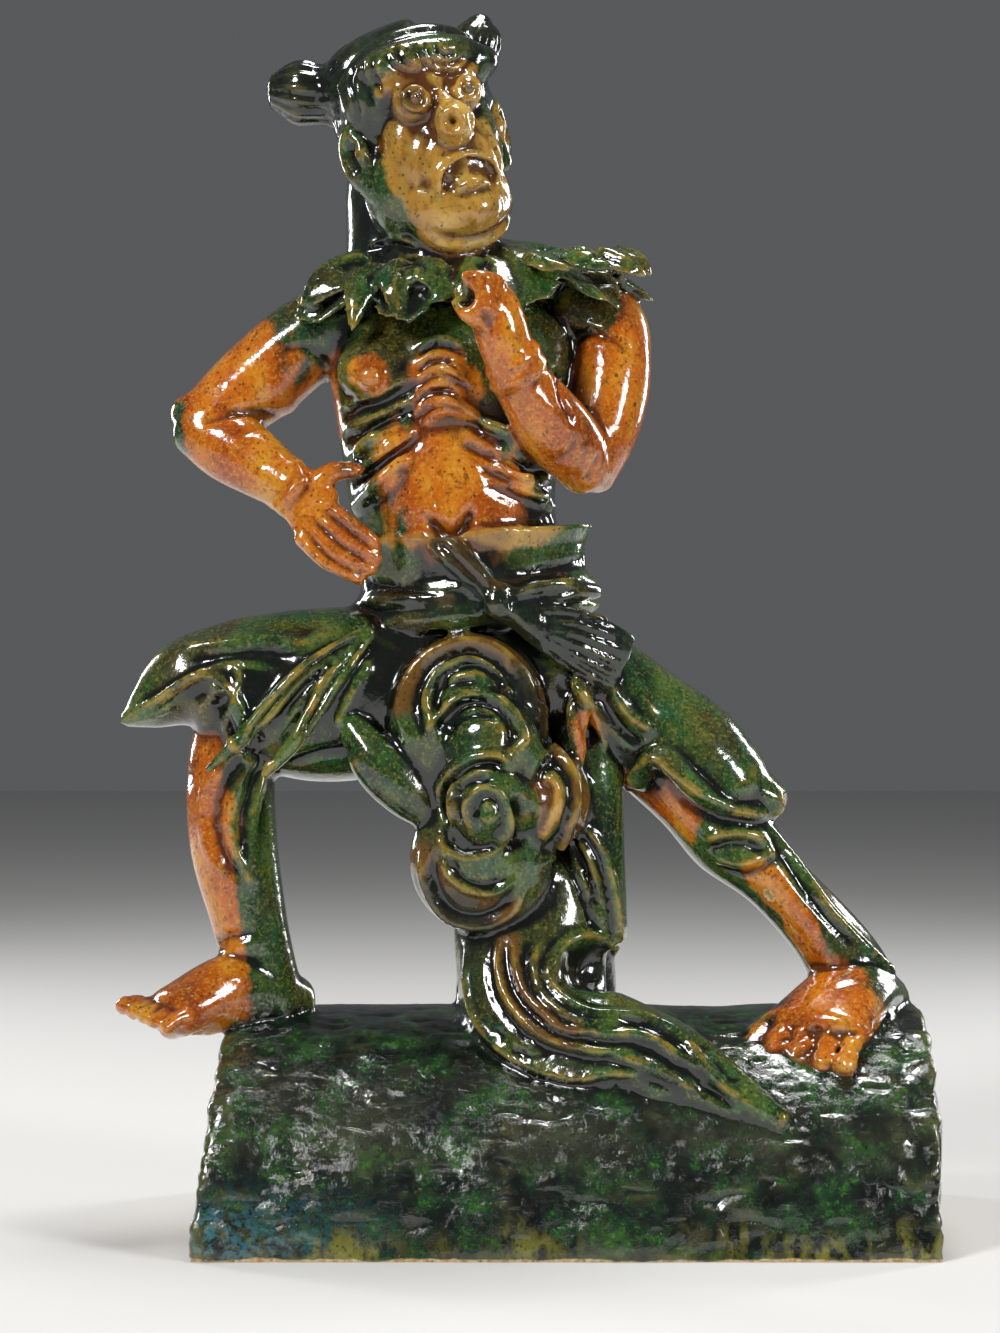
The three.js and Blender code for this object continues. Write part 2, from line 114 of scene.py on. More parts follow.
def limb(*stations, front=VIEWER, tip=0.6, sides=28):
    """A bent roll of clay. A station is x, y, z, half width and half depth, the depth being
    measured towards front. tip is how far its ends bulge, as a share of their radius."""
    stations = np.array(stations, float)
    cap = 5
    middle = 7 * (len(stations) - 1)
    rings = middle + 2 * cap
    made = bmesh.ops.create_uvsphere(clay, u_segments=sides, v_segments=rings, radius=1)
    for vertex in made["verts"]:
        ring = round(math.acos(max(-1, min(1, vertex.co.z))) / math.pi * rings)
        angle = math.atan2(vertex.co.y, vertex.co.x)
        place = max(0, min(1, (ring - cap) / middle))
        here = along_curve(stations, place)
        ahead = along_curve(stations, min(1, place + 0.01))
        behind = along_curve(stations, max(0, place - 0.01))
        run = Vector((ahead - behind)[:3]).normalized()
        across = run.cross(Vector(front)).normalized()
        deep = across.cross(run)
        short = max(cap - ring, ring - cap - middle, 0) / cap  # 0 along the limb, 1 at its ends
        swell = math.cos(short * math.pi / 2)
        end = math.sin(short * math.pi / 2) * tip * min(here[3], here[4])
        vertex.co = (
            Vector(here[:3])
            + run * (end if ring > rings / 2 else -end)
            + across * (math.cos(angle) * here[3] * swell)
            + deep * (math.sin(angle) * here[4] * swell)
        )


def ball(centre, radii, turn=Matrix()):
    place = turn @ Matrix.Translation(centre) @ Matrix.Diagonal((*radii, 1))
    bmesh.ops.create_icosphere(clay, subdivisions=4, radius=1, matrix=place)


def roll(points, radius, taper=0.5, tip=0.6):
    """A thin roll of clay laid on, thinner at both ends."""
    last = len(points) - 1
    girths = [radius * taper if i in (0, last) else radius for i in range(len(points))]
    limb(*[(*p, girth, girth) for p, girth in zip(points, girths)], tip=tip, sides=14)


def tool(half_width, height, *points):
    """A line drawn on the soft clay: raised where height is positive, and pressed in otherwise.
    Points of two numbers lie in the plane of the ridge, as the eye sees them."""
    tooling.append((points, half_width, height))


limb(
    (-12, 1, 106, 16, 14),
    (-8, 4, 88, 23, 18),
    (-8, 4, 60, 26, 18),
    (-9, 3, 30, 27, 19),
    (-9, 2, -6, 28, 22),
    tip=0.1,
)
limb(
    (-10, -12, 44, 26, 16),
    (-11, -16, 22, 26, 19),
    (-7, -28, -2, 25, 21),
    (10, -38, -12, 23, 18),
    (29, -44, -17, 19, 14),
    (49, -52, -23, 13, 9),
    (71, -62, -31, 4, 4),
    sides=72,
)
limb((4, -10, 98, 12, 10), (8, -13, 78, 12, 10), (10, -14, 52, 11, 10), (12, -14, 26, 10, 10), sides=40)
for combed in (
    [(-33, 21), (-33, 8), (-30, -4), (-23, -13), (-15, -19), (-5, -23), (7, -25), (19, -23), (31, -24)],
    [(-21, 23), (-22, 14), (-20, 5), (-14, -4), (-5, -11), (7, -15), (19, -17), (33, -22), (44, -28)],
    [(-17, 23), (-16, 14), (-13, 5), (-7, -2), (1, -8), (11, -9), (19, -10), (27, -10), (40, -17), (52, -27)],
    [(-7, 23), (-10, 15), (-8, 6), (-3, 0), (5, -5), (14, -6), (22, -6)],
    [(-4, 17), (-5, 10), (0, 3), (9, -2), (19, -3), (29, -4), (40, -10), (48, -19), (56, -28), (66, -35)],
):
    tool(1.8, 2.3, *combed)
    tool(1.8, -1.6, *[(x - 3, z - 2.4) for x, z in combed])
for pleat in (
    [(6, 62), (11, 57), (16, 47), (19, 33), (21, 16)],
    [(5, 59), (11, 46), (15, 32)],
    [(3, 51), (8, 42), (12, 32), (14, 27)],
):
    tool(1.5, 1.8, *pleat)
    tool(1.6, -1.8, *[(x - 2.6, z) for x, z in pleat])
tool(2.2, 2.6, (-2, 12), (-1, 18), (3, 22), (9, 24), (15, 22), (19, 18), (21, 14))
tool(8.5, -9, (8, 13), (13, 13))
tool(0.45, -0.5, (28, -5), (28, -14), (28, -24))
set_aside("trail")


# The cloud scroll in front of the prop. Its lobes are discs laid one over the other, and their
# curled edges are pinched up with a wet finger and undercut with a stick.
for centre, radii in (
    ((-32, -28, 97), (27, 14, 31)),
    ((-24, -36, 88), (17, 13, 20)),
    ((-24, -40, 71), (14, 14, 14)),
    ((-28, -28, 52), (24, 14, 25)),
    ((-5, -28, 72), (14, 13, 17)),
):
    ball(centre, radii)
roll([(-72, -28, 98), (-63, -30, 85), (-52, -30, 74), (-42, -28, 64)], 9)
CREASE_INSET = 0.24  # how far a crease lies in from its curl, as a share of the way to its middle
for curl, lift in (
    ([(-53, 90), (-56, 103), (-50, 117), (-39, 124), (-29, 125), (-20, 121), (-12, 112), (-9, 102)], 2.6),
    ([(-46, 96), (-47, 107), (-42, 116), (-32, 120), (-24, 118), (-17, 111), (-20, 108)], 2.6),
    ([(-46, 99), (-44, 108), (-37, 113), (-28, 114)], 1.8),
    ([(-44, 90), (-45, 97), (-40, 103), (-32, 107), (-22, 105), (-16, 99), (-13, 92), (-16, 87)], 3.0),
    ([(-41, 92), (-40, 97), (-34, 101), (-26, 102), (-18, 99)], 2.0),
    ([(-41, 62), (-42, 74), (-38, 80), (-31, 85), (-22, 86), (-18, 82)], 3.0),
    ([(-37, 60), (-38, 70), (-36, 77), (-29, 80), (-22, 79)], 2.4),
    ([(-31, 59), (-33, 68), (-30, 73), (-26, 75), (-21, 72), (-18, 66), (-19, 59), (-25, 55)], 2.4),
    ([(-31, 69), (-29, 66), (-26, 64), (-22, 66)], 1.8),
    ([(-8, 85), (-3, 88), (3, 81), (5, 73), (3, 63), (-1, 54), (-8, 48)], 2.6),
    ([(-6, 80), (-2, 74), (-3, 67), (-8, 55)], 2.2),
    ([(-48, 54), (-48, 45), (-44, 35), (-37, 29), (-26, 28), (-17, 33), (-13, 41)], 2.6),
    ([(-41, 52), (-39, 45), (-32, 40), (-24, 39), (-16, 43)], 2.4),
    ([(-43, 59), (-40, 54), (-33, 51), (-24, 53), (-18, 59)], 2.2),
):
    tool(1.7, lift, *curl)
    heart_x, heart_z = [sum(p[i] for p in curl) / len(curl) for i in (0, 1)]
    tool(1.9, -2.8, *[(x + (heart_x - x) * CREASE_INSET, z + (heart_z - z) * CREASE_INSET) for x, z in curl])
tool(2.4, -8, (-17, 71), (-14, 66), (-14, 60), (-18, 55))
tool(3.5, 1.5, (-11, 76), (-9, 66), (-12, 56))
set_aside("cloud")


# The bare legs and feet. Each is a solid roll of clay, thumbed into shin, calf and tendons, and the
# toes are cut and rounded one by one and their nails drawn with a stick.
limb(
    (-111, -12, 96, 14, 14),
    (-113, -13, 80, 15, 14),
    (-112, -13, 56, 15, 14),
    (-107, -14, 32, 13, 12.5),
    (-104, -14, 18, 12.5, 12),
    (-102, -12, 2, 14.5, 13),
)
limb(
    (28, -3, 86, 13, 14),
    (43, -5, 72, 12.8, 13.5),
    (57, -6, 59, 15, 16),
    (72, -6, 44, 11.3, 12),
    (88, -6, 27, 11.8, 12),
    (97, -6, 14, 13.5, 13),
    (103, -4, 0, 15, 13.5),
)


def foot(sole, toe_ends, spread, toe_length, toe_radius):
    """A foot from heel to ball, with five toes side by side."""
    limb(*sole, front=UP)
    front = Vector(sole[-1][:3])
    forward = (front - Vector(sole[-2][:3])) * Vector((1, 1, 0))
    forward.normalize()
    sideways = Vector((-forward.y, forward.x, 0))
    for i in range(5):
        share = i / 4
        root = front + sideways * (share - 0.5) * spread
        tip = root + forward * toe_length * (1 - 0.22 * share)
        tip.z = toe_ends[0] + (toe_ends[1] - toe_ends[0]) * share
        r = toe_radius * (1 - 0.07 * i)
        knuckle = root.lerp(tip, 0.55) + UP * r * 0.25
        stations = (*root, r, r), (*knuckle, r * 0.92, r * 0.9), (*tip, r, r * 0.86)
        limb(*stations, front=UP, tip=0.8, sides=16)
        nail = tip + UP * r * 0.78 + forward * r * 0.25
        toenails.append((nail, forward, sideways, r))


toenails = []
foot([(-92, -6, 2, 11, 9), (-110, -19, 7, 13, 13), (-131, -34, 1, 13, 8.5)], (3, -2), 23, 12, 4.0)
foot([(108, 4, 2, 13, 10), (98, -12, 4, 16, 13), (83, -33, -5, 21, 9)], (-12, -15), 35, 12, 4.9)
for nail, forward, sideways, r in toenails:
    rim = [nail - sideways * r * 0.5 + forward * r * 0.5, nail - sideways * r * 0.55 - forward * r * 0.5]
    rim += [nail - forward * r * 0.9, nail + sideways * r * 0.55 - forward * r * 0.5]
    rim += [nail + sideways * r * 0.5 + forward * r * 0.5]
    tool(0.6, -0.55, *[tuple(p) for p in rim])
    crease = nail - forward * r * 2.3
    tool(0.7, -0.5, tuple(crease - sideways * r * 0.6), tuple(crease + sideways * r * 0.6))
for mark in (
    (1.7, 1.7, (-118, 82), (-123, 74), (-124, 62), (-121, 51), (-116, 44)),
    (1.9, -2.2, (-110, 86), (-116, 76), (-119, 64), (-116, 52), (-112, 45)),
    (1.7, 1.5, (-106, 90), (-110, 80), (-114, 68), (-113, 56), (-109, 46), (-107, 40)),
    (1.6, -1.8, (-103, 86), (-107, 74), (-110, 62), (-109, 50)),
    (1.6, 1.4, (-101, 84), (-105, 72), (-107, 58), (-106, 44)),
    (2.2, -1.8, (-129, 92), (-130, 84), (-128, 76)),
    (1.4, -1.3, (-121, 22), (-114, 24), (-107, 25)),
    (1.6, 1.2, (-117, 17), (-110, 20), (-104, 22)),
    (1.6, 1.0, (-135, 4), (-120, 8), (-108, 10)),
    (2.2, 1.8, (73, 60), (85, 43), (93, 32), (106, 19), (121, 5)),
    (2.0, -1.6, (70, 60), (81, 44), (89, 33), (101, 20)),
    (3.0, 1.2, (60, 38), (68, 30), (78, 20)),
    (1.0, -1.0, (85, 14), (92, 13), (99, 14)),
    (1.0, -0.7, (83, 8), (92, 6), (102, 8)),
    (1.6, -0.8, (70, -16), (78, -17), (88, -18)),
    (2.0, 1.8, (49, 57), (60, 60), (72, 56)),
    (1.4, -1.8, (50, 54), (61, 56), (70, 52)),
    (1.8, 2.0, (52, 51), (62, 49), (74, 54)),
    (1.2, -1.4, (54, 48), (64, 45), (75, 51)),
    (1.4, -1.0, (70.5, 38), (71, 37)),
):
    tool(*mark)
set_aside("legs")


# The full trousers, hitched to the knee. They are slabs of clay folded over the thighs, with the
# folds pulled up by finger and pressed in by stick, and a turned hem at each knee.
limb(
    (-36, 0, 112, 27, 25),
    (-58, -1, 109, 29, 27),
    (-80, -5, 107, 30, 27),
    (-97, -8, 108, 28, 25),
    (-114, -11, 110, 23, 21),
    (-129, -13, 110, 16, 16),
    (-141, -15, 103, 8.5, 9),
    (-148, -16, 98.5, 3, 4),
    sides=40,
)
limb(
    (-24, 0, 118, 28, 25),
    (-4, 0, 113, 26, 25),
    (14, -1, 106, 21, 23),
    (30, -3, 96, 19.5, 21),
    (44, -5, 86, 19.5, 20),
    (57, -6, 74, 16.5, 19),
    sides=40,
)
limb((46, -3, 86, 13, 15), (60, -5, 76, 12, 15), (75, -7, 70, 5, 10), tip=0.3)
for fold in (
    [(-119, -33, 82), (-104, -36, 96), (-88, -35, 114), (-66, -28, 130)],
    [(-100, -36, 80), (-88, -37, 94), (-77, -34, 112), (-64, -28, 128)],
    [(-149, -18, 98), (-136, -25, 103), (-121, -31, 112), (-110, -32, 104), (-106, -30, 90)],
):
    roll(fold, 3.3)
roll([(12, -25, 124), (5, -28, 104), (5, -27, 84)], 4.4)
roll([(25, -15, 77), (32, -23, 86), (46, -24, 74), (60, -19, 67), (70, -10, 70)], 4.2, taper=0.8)
for mark in (
    (3.0, 2.0, (-134, 122), (-122, 124), (-104, 126), (-90, 124), (-83, 126), (-74, 130)),
    (3.4, -1.6, (-130, 117), (-118, 120), (-104, 121), (-92, 119)),
    (2.4, -4.0, (-70, 128), (-82, 119), (-92, 109), (-101, 100), (-107, 89)),
    (2.4, -4.0, (-67, 126), (-77, 114), (-83, 104), (-88, 92)),
    (1.8, 1.6, (-72, 123), (-82, 112), (-92, 101), (-98, 91)),
    (1.8, 1.8, (-66, 119), (-73, 107), (-78, 95)),
    (1.5, 1.8, (-153, 99), (-142, 104), (-131, 111), (-121, 116), (-113, 117), (-111, 112), (-114, 105)),
    (1.5, 1.8, (-114, 105), (-116, 97), (-113, 89), (-106, 83), (-99, 83)),
    (3.4, -4.0, (-144, 100), (-132, 105), (-122, 110), (-117, 108), (-119, 98)),
    (2.2, -2.0, (-95, 83), (-82, 87), (-72, 88)),
    (2.0, 2.4, (3, 113), (11, 100), (15, 87)),
    (2.0, -2.0, (-1, 112), (6, 100), (10, 88)),
    (2.0, 1.8, (15, 112), (23, 100), (31, 95)),
    (2.4, -2.2, (12, 108), (19, 97), (26, 90)),
    (1.6, 1.2, (24, 113), (32, 99)),
    (1.5, 1.8, (21, 68), (24, 79), (31, 85), (39, 79), (49, 72), (61, 67), (72, 66), (78, 70)),
    (2.0, -2.6, (32, 80), (42, 71), (54, 64), (66, 62)),
    (2.2, -1.8, (77, 71), (79, 70)),
):
    tool(*mark)
set_aside("trousers")


# The waist wrap and the sash. The wrap is a turned band that flares at the top over two cords, and
# the sash is rolled, knotted in front and let fall in two loops and a pleated tail.
SASH_X = -30.5
SASH_Z = 150
SASH_DEPTH = 0.74
SASH_TIP = -5
cords = [(38, -20), (42.5, -16), (39.5, -12), (42.5, -8)]
flare = [(38.5, -4), (39, 6), (42.5, 12)]
rim_points = [clay.verts.new((r, 0, z)) for r, z in [(0, -21), *cords, *flare, (0, 11)]]
rim_edges = [clay.edges.new(pair) for pair in zip(rim_points, rim_points[1:])]
outline = rim_points + rim_edges
bmesh.ops.spin(clay, geom=outline, cent=(0, 0, 0), axis=UP, angle=math.tau, steps=64, use_merge=True)
bmesh.ops.remove_doubles(clay, verts=clay.verts[:], dist=0.001)
bmesh.ops.recalc_face_normals(clay, faces=clay.faces[:])
wrap_place = Matrix.Translation((SASH_X, 0, SASH_Z)) @ Matrix.Rotation(math.radians(SASH_TIP), 4, "Y")
bmesh.ops.transform(clay, matrix=wrap_place @ Matrix.Diagonal((1, SASH_DEPTH, 1, 1)), verts=clay.verts[:])
ball((-21.5, -33, 138.5), (6, 5.5, 7))
limb(
    (-23, -33, 140, 3.4, 3.2),
    (-31, -33, 148, 5, 3.8),
    (-38, -32, 155, 5.4, 3.8),
    (-43, -29, 158, 3.4, 3),
)
limb((-19, -33, 139, 3, 3.4), (-9, -30, 141, 4.6, 5.4), (2, -26, 142, 4.2, 5.4), (11, -18, 142, 2.8, 3))
limb((-21, -32, 136, 3.4, 3), (-7, -32, 130, 8, 3.6), (7, -30, 124, 11, 3.8), (19, -25, 118, 10.5, 3.4))
for mark in (
    (1.1, -2.2, (-24, 141), (-32, 149), (-39, 156), (-43, 159)),
    (1.1, 0.9, (-27, 143), (-34, 151), (-40, 158)),
    (1.1, -1.8, (-17, 139), (-6, 141), (6, 143)),
    (1.2, 0.9, (-15, 142), (-4, 145), (6, 146)),
    (1.1, -1.6, (-23, 143), (-20, 139), (-21, 134)),
    (1.0, -1.2, (-19, 144), (-17, 139), (-18, 134)),
):
    tool(*mark)
for i in range(6):
    rise = 14 - 5.2 * i
    crease = [(-19, 136), (-8, 131 + rise * 0.4), (6, 125 + rise * 0.75), (19, 119 + rise * 0.9)]
    tool(0.9, 1.4, *crease)
    tool(1.0, -1.6, *[(x, z - 2.4) for x, z in crease[1:]])
for cord in ([(-70, 141), (-55, 138), (-40, 137), (-28, 138)], [(-14, 143), (0, 146), (9, 149)]):
    tool(1.8, 0.9, *cord)
    tool(1.5, -1.4, *[(x, z + 5) for x, z in cord])
tool(1.3, 1.0, (-42, 161), (-20, 164), (-2, 167), (10, 169))
set_aside("sash")


# The bare trunk. It is built up hollow from coils, beaten smooth, and its ribs, breastbone and
# navel are then drawn on the lean belly with a wooden stick.
limb(
    (-33, 0, 142, 37, 27),
    (-36, -2, 160, 34.5, 27),
    (-38, -3, 178, 36, 27),
    (-38.5, -2, 196, 38.5, 25),
    (-38, -2, 214, 42, 26.5),
    (-38, 0, 231, 43, 22),
    (-38, 1, 242, 34, 15),
    tip=0.2,
    sides=48,
)
ball((-62, -17, 217), (15, 11, 12))
ball((-65, -27, 214), (4.2, 4, 4.2))
ball((-38, -18, 172), (22, 12, 20))
for side in (-1, 1):
    for row in range(2):
        centre = -39 + row * 1.4
        drop = row * 13
        near = (centre + side * (13 + row * 2), -27, 197 - drop * 0.8)
        middle = (centre + side * 24, -25, 191 - drop)
        far = (centre + side * (34.5 - row), -11, 184 - drop)
        roll([near, middle, far], 4)
for row in range(2):
    roll([(-46, -26, 211 - row * 11), (-38.5, -30, 215.5 - row * 11), (-30.5, -26, 211 - row * 11)], 3.6)
for row in range(5):
    z = 229 - row * 5.3
    tool(1.2, 1.4, (-50, z - 3.5), (-46, z), (-40, z + 0.6), (-34, z - 2.5))
    tool(1.2, -1.9, (-50, z - 6), (-46, z - 2.6), (-40, z - 2.1), (-34, z - 5))
for rib, height in (
    ([(-75, 206), (-69, 209), (-61, 212), (-52, 217)], 1.6),
    ([(-75, 198), (-68, 201), (-60, 205), (-51, 209)], 1.8),
    ([(-72, 190), (-68, 194), (-61, 199), (-51, 204)], 1.8),
    ([(-71, 183), (-65, 188), (-60, 192), (-50, 198)], 1.6),
    ([(-68, 176), (-62, 182), (-54, 190)], 1.2),
    ([(-33, 205), (-27, 201), (-18, 198)], 1.6),
    ([(-34, 197), (-27, 193), (-16, 189), (-8, 186)], 1.8),
    ([(-29, 190), (-23, 186), (-11, 182), (-4, 181)], 1.6),
    ([(-27, 184), (-20, 180), (-8, 177), (-3, 176)], 1.2),
):
    tool(1.5, height, *rib)
    tool(1.6, -height, *[(x, z - 4) for x, z in rib])
tool(1.6, -4.5, (-46, 167), (-42, 163), (-37, 163), (-33, 166), (-32, 170))
tool(2.4, 1.4, (-45, 171), (-40, 168), (-36, 168))
tool(2.0, -1.2, (-48, 218), (-56, 208), (-68, 206), (-75, 211))
tool(5.8, 1.0, (-66, 215), (-65, 214))
set_aside("trunk")


# The arms. The one is set akimbo with its hand spread on the hip, and the other is drawn up to the
# chest, its fist bored for a staff that is now lost. Both wear a rolled bangle at the wrist.
limb(
    (-66, 1, 237, 14, 15),
    (-86, 1, 230, 15, 14.5),
    (-103, 0, 216, 15, 14),
    (-118, -3, 204, 12.6, 12.5),
    (-129, -4, 200, 9, 9),
)
limb(
    (-125, -5, 199, 11, 11),
    (-114, -10, 192, 12.6, 11.5),
    (-102, -15, 184, 11, 10),
    (-92, -20, 177, 8.6, 8.4),
)
roll([(-95, -21.5, 178.5), (-94, -21, 178), (-92.5, -20.5, 177)], 10.6, taper=0.9, tip=0.15)
roll([(-91, -22, 175.5), (-90, -22.2, 174.8), (-89, -22.5, 174)], 10.2, taper=0.9, tip=0.15)
limb((-89, -22.5, 174, 8.5, 6.5), (-83, -26, 168, 10.5, 5.4))
for root, knuckle, tip in (
    ((-80, 171), (-71, 164.5), (-62, 157.5)),
    ((-83, 167.5), (-74, 160), (-61.5, 152.5)),
    ((-86, 164), (-77, 155.5), (-63.5, 148.5)),
    ((-88.5, 160), (-80.5, 152), (-67.5, 145)),
):
    limb(
        (root[0], -27.5, root[1], 2.9, 4),
        (knuckle[0], -31, knuckle[1], 2.5, 3.4),
        ((knuckle[0] + tip[0]) / 2, -31.5, (knuckle[1] + tip[1]) / 2, 2.3, 3),
        (tip[0], -30, tip[1], 1.9, 2.4),
        sides=16,
    )
limb((-84, -25, 175, 4.4, 4.6), (-79, -25, 181.5, 3.8, 3.8), (-70, -22, 183, 2.8, 3.4), sides=16)
limb(
    (2, 2, 238, 13, 13),
    (14.5, 1, 234, 14, 14),
    (17, -3, 222, 13.5, 14),
    (15.5, -7, 208, 13.6, 14),
    (12, -12, 193, 12, 12.5),
    (9, -15, 181, 8.5, 9),
)
limb((8, -17, 183, 9.5, 10), (2, -24, 191, 12, 11.5), (-6, -32, 200, 12, 11.5), (-16, -39, 213, 9.2, 9))
roll([(-15, -39.5, 212.5), (-15.8, -40, 214), (-16.4, -40.4, 215)], 11.3, taper=0.92, tip=0.15)
roll([(-17, -41, 217), (-17.6, -41.5, 218.2), (-18.4, -42, 219.4)], 11, taper=0.92, tip=0.15)
limb(
    (-18, -42, 217, 8.2, 9),
    (-21, -44, 227, 9.2, 9.6),
    (-24, -44, 237, 8.4, 8.8),
    (-26, -43, 243, 5.5, 6.5),
)
limb((-24, -49, 229, 3.4, 3.6), (-31, -53, 232, 3.6, 3.6), (-35, -51, 237, 3.2, 3.4), sides=16)
for i in range(3):
    z = 244 - i * 4.6
    limb((-22, -50, z - 1, 2.9, 3.4), (-28, -54, z, 2.8, 3.2), (-33, -51, z + 0.6, 2.4, 2.8), sides=16)
limb((-28, -44, 234, 6, 6), (-31, -44, 242, 6.4, 6), sides=20)
for mark in (
    (1.4, -1.4, (-125, 200), (-115, 203), (-104, 204), (-97, 202)),
    (1.8, 0.9, (-126, 204), (-116, 207), (-104, 207)),
    (1.3, -1.0, (-110, 196), (-103, 199), (-96, 197)),
    (1.5, -1.2, (-97, 225), (-88, 226), (-80, 219)),
    (3.0, 1.0, (-100, 214), (-95, 208), (-92, 203)),
    (1.2, -0.6, (-104, 186), (-98, 190)),
    (0.7, -1.6, (-82, 170), (-73, 163), (-64, 156)),
    (0.7, -1.6, (-85, 167), (-77, 159), (-65, 151)),
    (0.7, -1.6, (-88, 163), (-80, 154), (-67, 147)),
    (3.0, 0.8, (-2, 202), (-8, 208), (-14, 214)),
    (1.3, -1.2, (5, 195), (2, 190), (-2, 187)),
    (1.4, 0.9, (7, 193), (5, 187), (3, 183)),
    (1.2, -1.2, (13, 190), (10, 184), (7, 180)),
    (1.4, -1.2, (3, 229), (10, 231), (17, 229), (23, 224)),
    (1.5, 0.8, (3, 232), (10, 234), (18, 232)),
    (1.6, -1.6, (-2, 218), (0, 208), (4, 200)),
    (1.0, -1.2, (-28, 244), (-27, 238), (-24, 232)),
):
    tool(*mark)
tool(2.6, -6.5, (-34.4, 244.4), (-33.8, 243.8))
set_aside("arms")


# The collar, a cape of pointed leaves over the shoulders. Each leaf is cut from a thin sheet, given
# a rib and a curled edge, and laid round the neck over its neighbour.
COLLAR = Vector((-34.5, 0, 259))
COLLAR_HALF_WIDTH = 62
COLLAR_HALF_DEPTH = 33
COLLAR_LEAVES = 10
cape = bmesh.ops.create_uvsphere(clay, u_segments=160, v_segments=14, radius=1)
for vertex in cape["verts"]:
    spoke = math.atan2(vertex.co.y, vertex.co.x)
    reach = math.hypot(vertex.co.x, vertex.co.y)
    tip = reach**3 * (abs(math.cos(spoke * COLLAR_LEAVES / 2)) - 0.5)
    out = reach * (1 + 0.12 * tip + 0.03 * math.sin(spoke * 7 + 1))
    ripple = 1.1 * reach * math.sin(spoke * 31 + reach * 5)
    droop = 15 * reach**2.4 + 12 * tip + 6 * reach * abs(math.sin(spoke))
    vertex.co = COLLAR + Vector(
        (
            math.cos(spoke) * out * COLLAR_HALF_WIDTH,
            math.sin(spoke) * out * COLLAR_HALF_DEPTH,
            4 * math.cos(spoke) * reach - droop + ripple + vertex.co.z * (5 - 1.6 * reach),
        )
    )


def leaf(root, middle, tip, half_width):
    """A pointed leaf from the neck outwards, thin, with a raised rib."""
    waist = [(a + b) / 2 for a, b in zip(root, middle)]
    limb(
        (*root, half_width * 0.8, 1.3),
        (*waist, half_width, 1.4),
        (*middle, half_width * 0.85, 1.5),
        (*[(a + 2 * b) / 3 for a, b in zip(middle, tip)], half_width * 0.5, 1.4),
        (*tip, 0.8, 1.0),
        front=(0, -0.75, 0.65),
        sides=20,
    )
    tool(0.8, 0.8, root, tuple(middle), tip)
    for side in (-1, 1):
        vein = [Vector(waist), Vector(middle) + Vector((side * half_width * 0.5, -1, -1.5))]
        tool(0.8, -0.9, *[tuple(p) for p in vein])


leaf((-66, -14, 255), (-80, -20, 247), (-89, -20, 238), 9)
leaf((-62, -20, 252), (-69, -26, 244), (-71, -31, 229), 6.5)
leaf((-53, -23, 253), (-57, -29, 245), (-55, -32, 234), 7)
leaf((-45, -24, 254), (-45, -29, 248), (-35, -31, 240), 6.5)
leaf((-12, -22, 256), (-6, -29, 252), (2, -31, 249), 5.5)
leaf((1, -20, 257), (9, -26, 253), (17, -27, 250), 6)
leaf((12, -15, 257), (21, -19, 253), (28, -17, 249), 6)
leaf((17, -6, 258), (25, -8, 255), (30, -9, 250), 6)
for i in range(7):
    spoke = math.radians(20 + i * 23)
    x, y = math.cos(spoke), math.sin(spoke)
    root = (COLLAR.x + 36 * x, 20 * y, 255 + 2 * x)
    middle = (COLLAR.x + 50 * x, 27 * y, 248 + 3 * x)
    tip = (COLLAR.x + 58 * x, 33 * y, 238 + 4 * x)
    leaf(root, middle, tip, 7)
for crumple in (
    [(-78, 256), (-70, 258), (-62, 256)],
    [(-68, 262), (-58, 264), (-50, 262)],
    [(-58, 256), (-50, 258), (-44, 254)],
    [(-10, 262), (0, 264), (10, 262)],
    [(4, 258), (14, 260), (24, 256)],
    [(-2, 255), (8, 252), (18, 251)],
):
    tool(1.1, 1.0, *crumple)
    tool(1.2, -1.2, *[(x, z - 2.6) for x, z in crumple])
set_aside("collar")


# The head, looking up and to the right. The face is pressed from a slab over a ball of clay, with a
# snout, bulging eyes and an open, turned-down mouth, and the neck is a short thick coil.
HEAD = Vector((-46, -4, 293.5))
HEAD_TURN = 20
HEAD_LEAN = -15
head_frame = (
    Matrix.Translation(HEAD)
    @ Matrix.Rotation(math.radians(HEAD_LEAN), 4, "Y")
    @ Matrix.Rotation(math.radians(HEAD_TURN), 4, "Z")
)


def on_head(*points):
    """Points given from the middle of the head, as points of the whole figure."""
    return [tuple(head_frame @ Vector(point)) for point in points]


def head_ball(place, radii):
    ball(place, radii, head_frame)


def head_roll(points, radius, taper=0.5):
    roll(on_head(*points), radius, taper)


def head_tool(half_width, height, *points):
    tool(half_width, height, *on_head(*points))


EYES = (-10, 9.5)
limb((-45, 0, 242, 20, 18), (-43, -4, 260, 18, 18), (-44, -5, 280, 16, 17))
head_ball((1, -4, -6), (21, 21.5, 31))
head_ball((0.5, -12, -21), (20, 13.5, 18.5))
head_ball((-14, -3, -12), (13, 15, 19))
head_ball((1, -15.5, -8), (18, 11, 18))
head_ball((0, -14, 14), (17, 10.5, 11))
head_ball((-10.5, -12.5, -2), (10, 9, 18))
head_ball((12, -12.5, -2), (9.5, 9, 18))
head_ball((0.5, -28, 3), (7.4, 8, 7.6))
head_roll([(0, -20, 22), (0, -22, 15), (1, -26, 8)], 4.6, 0.9)
for x in EYES:
    head_ball((x, -22.2, 13.5), (6.4, 6.2, 6.4))
head_roll([(-9.5, -23, -20), (-7, -26, -13), (2, -28, -9.5), (11, -26, -13), (13.5, -22, -20)], 1.7)
head_roll([(-4.5, -24.5, -19.5), (2, -27, -18.3), (8.5, -24.5, -19.5)], 2.4)
head_ball((2.5, -21, -26), (10, 7, 7.5))
head_roll([(-21, -15, 18), (-11, -20, 22), (0, -20, 22), (11, -20, 22), (21, -15, 18)], 3.2)
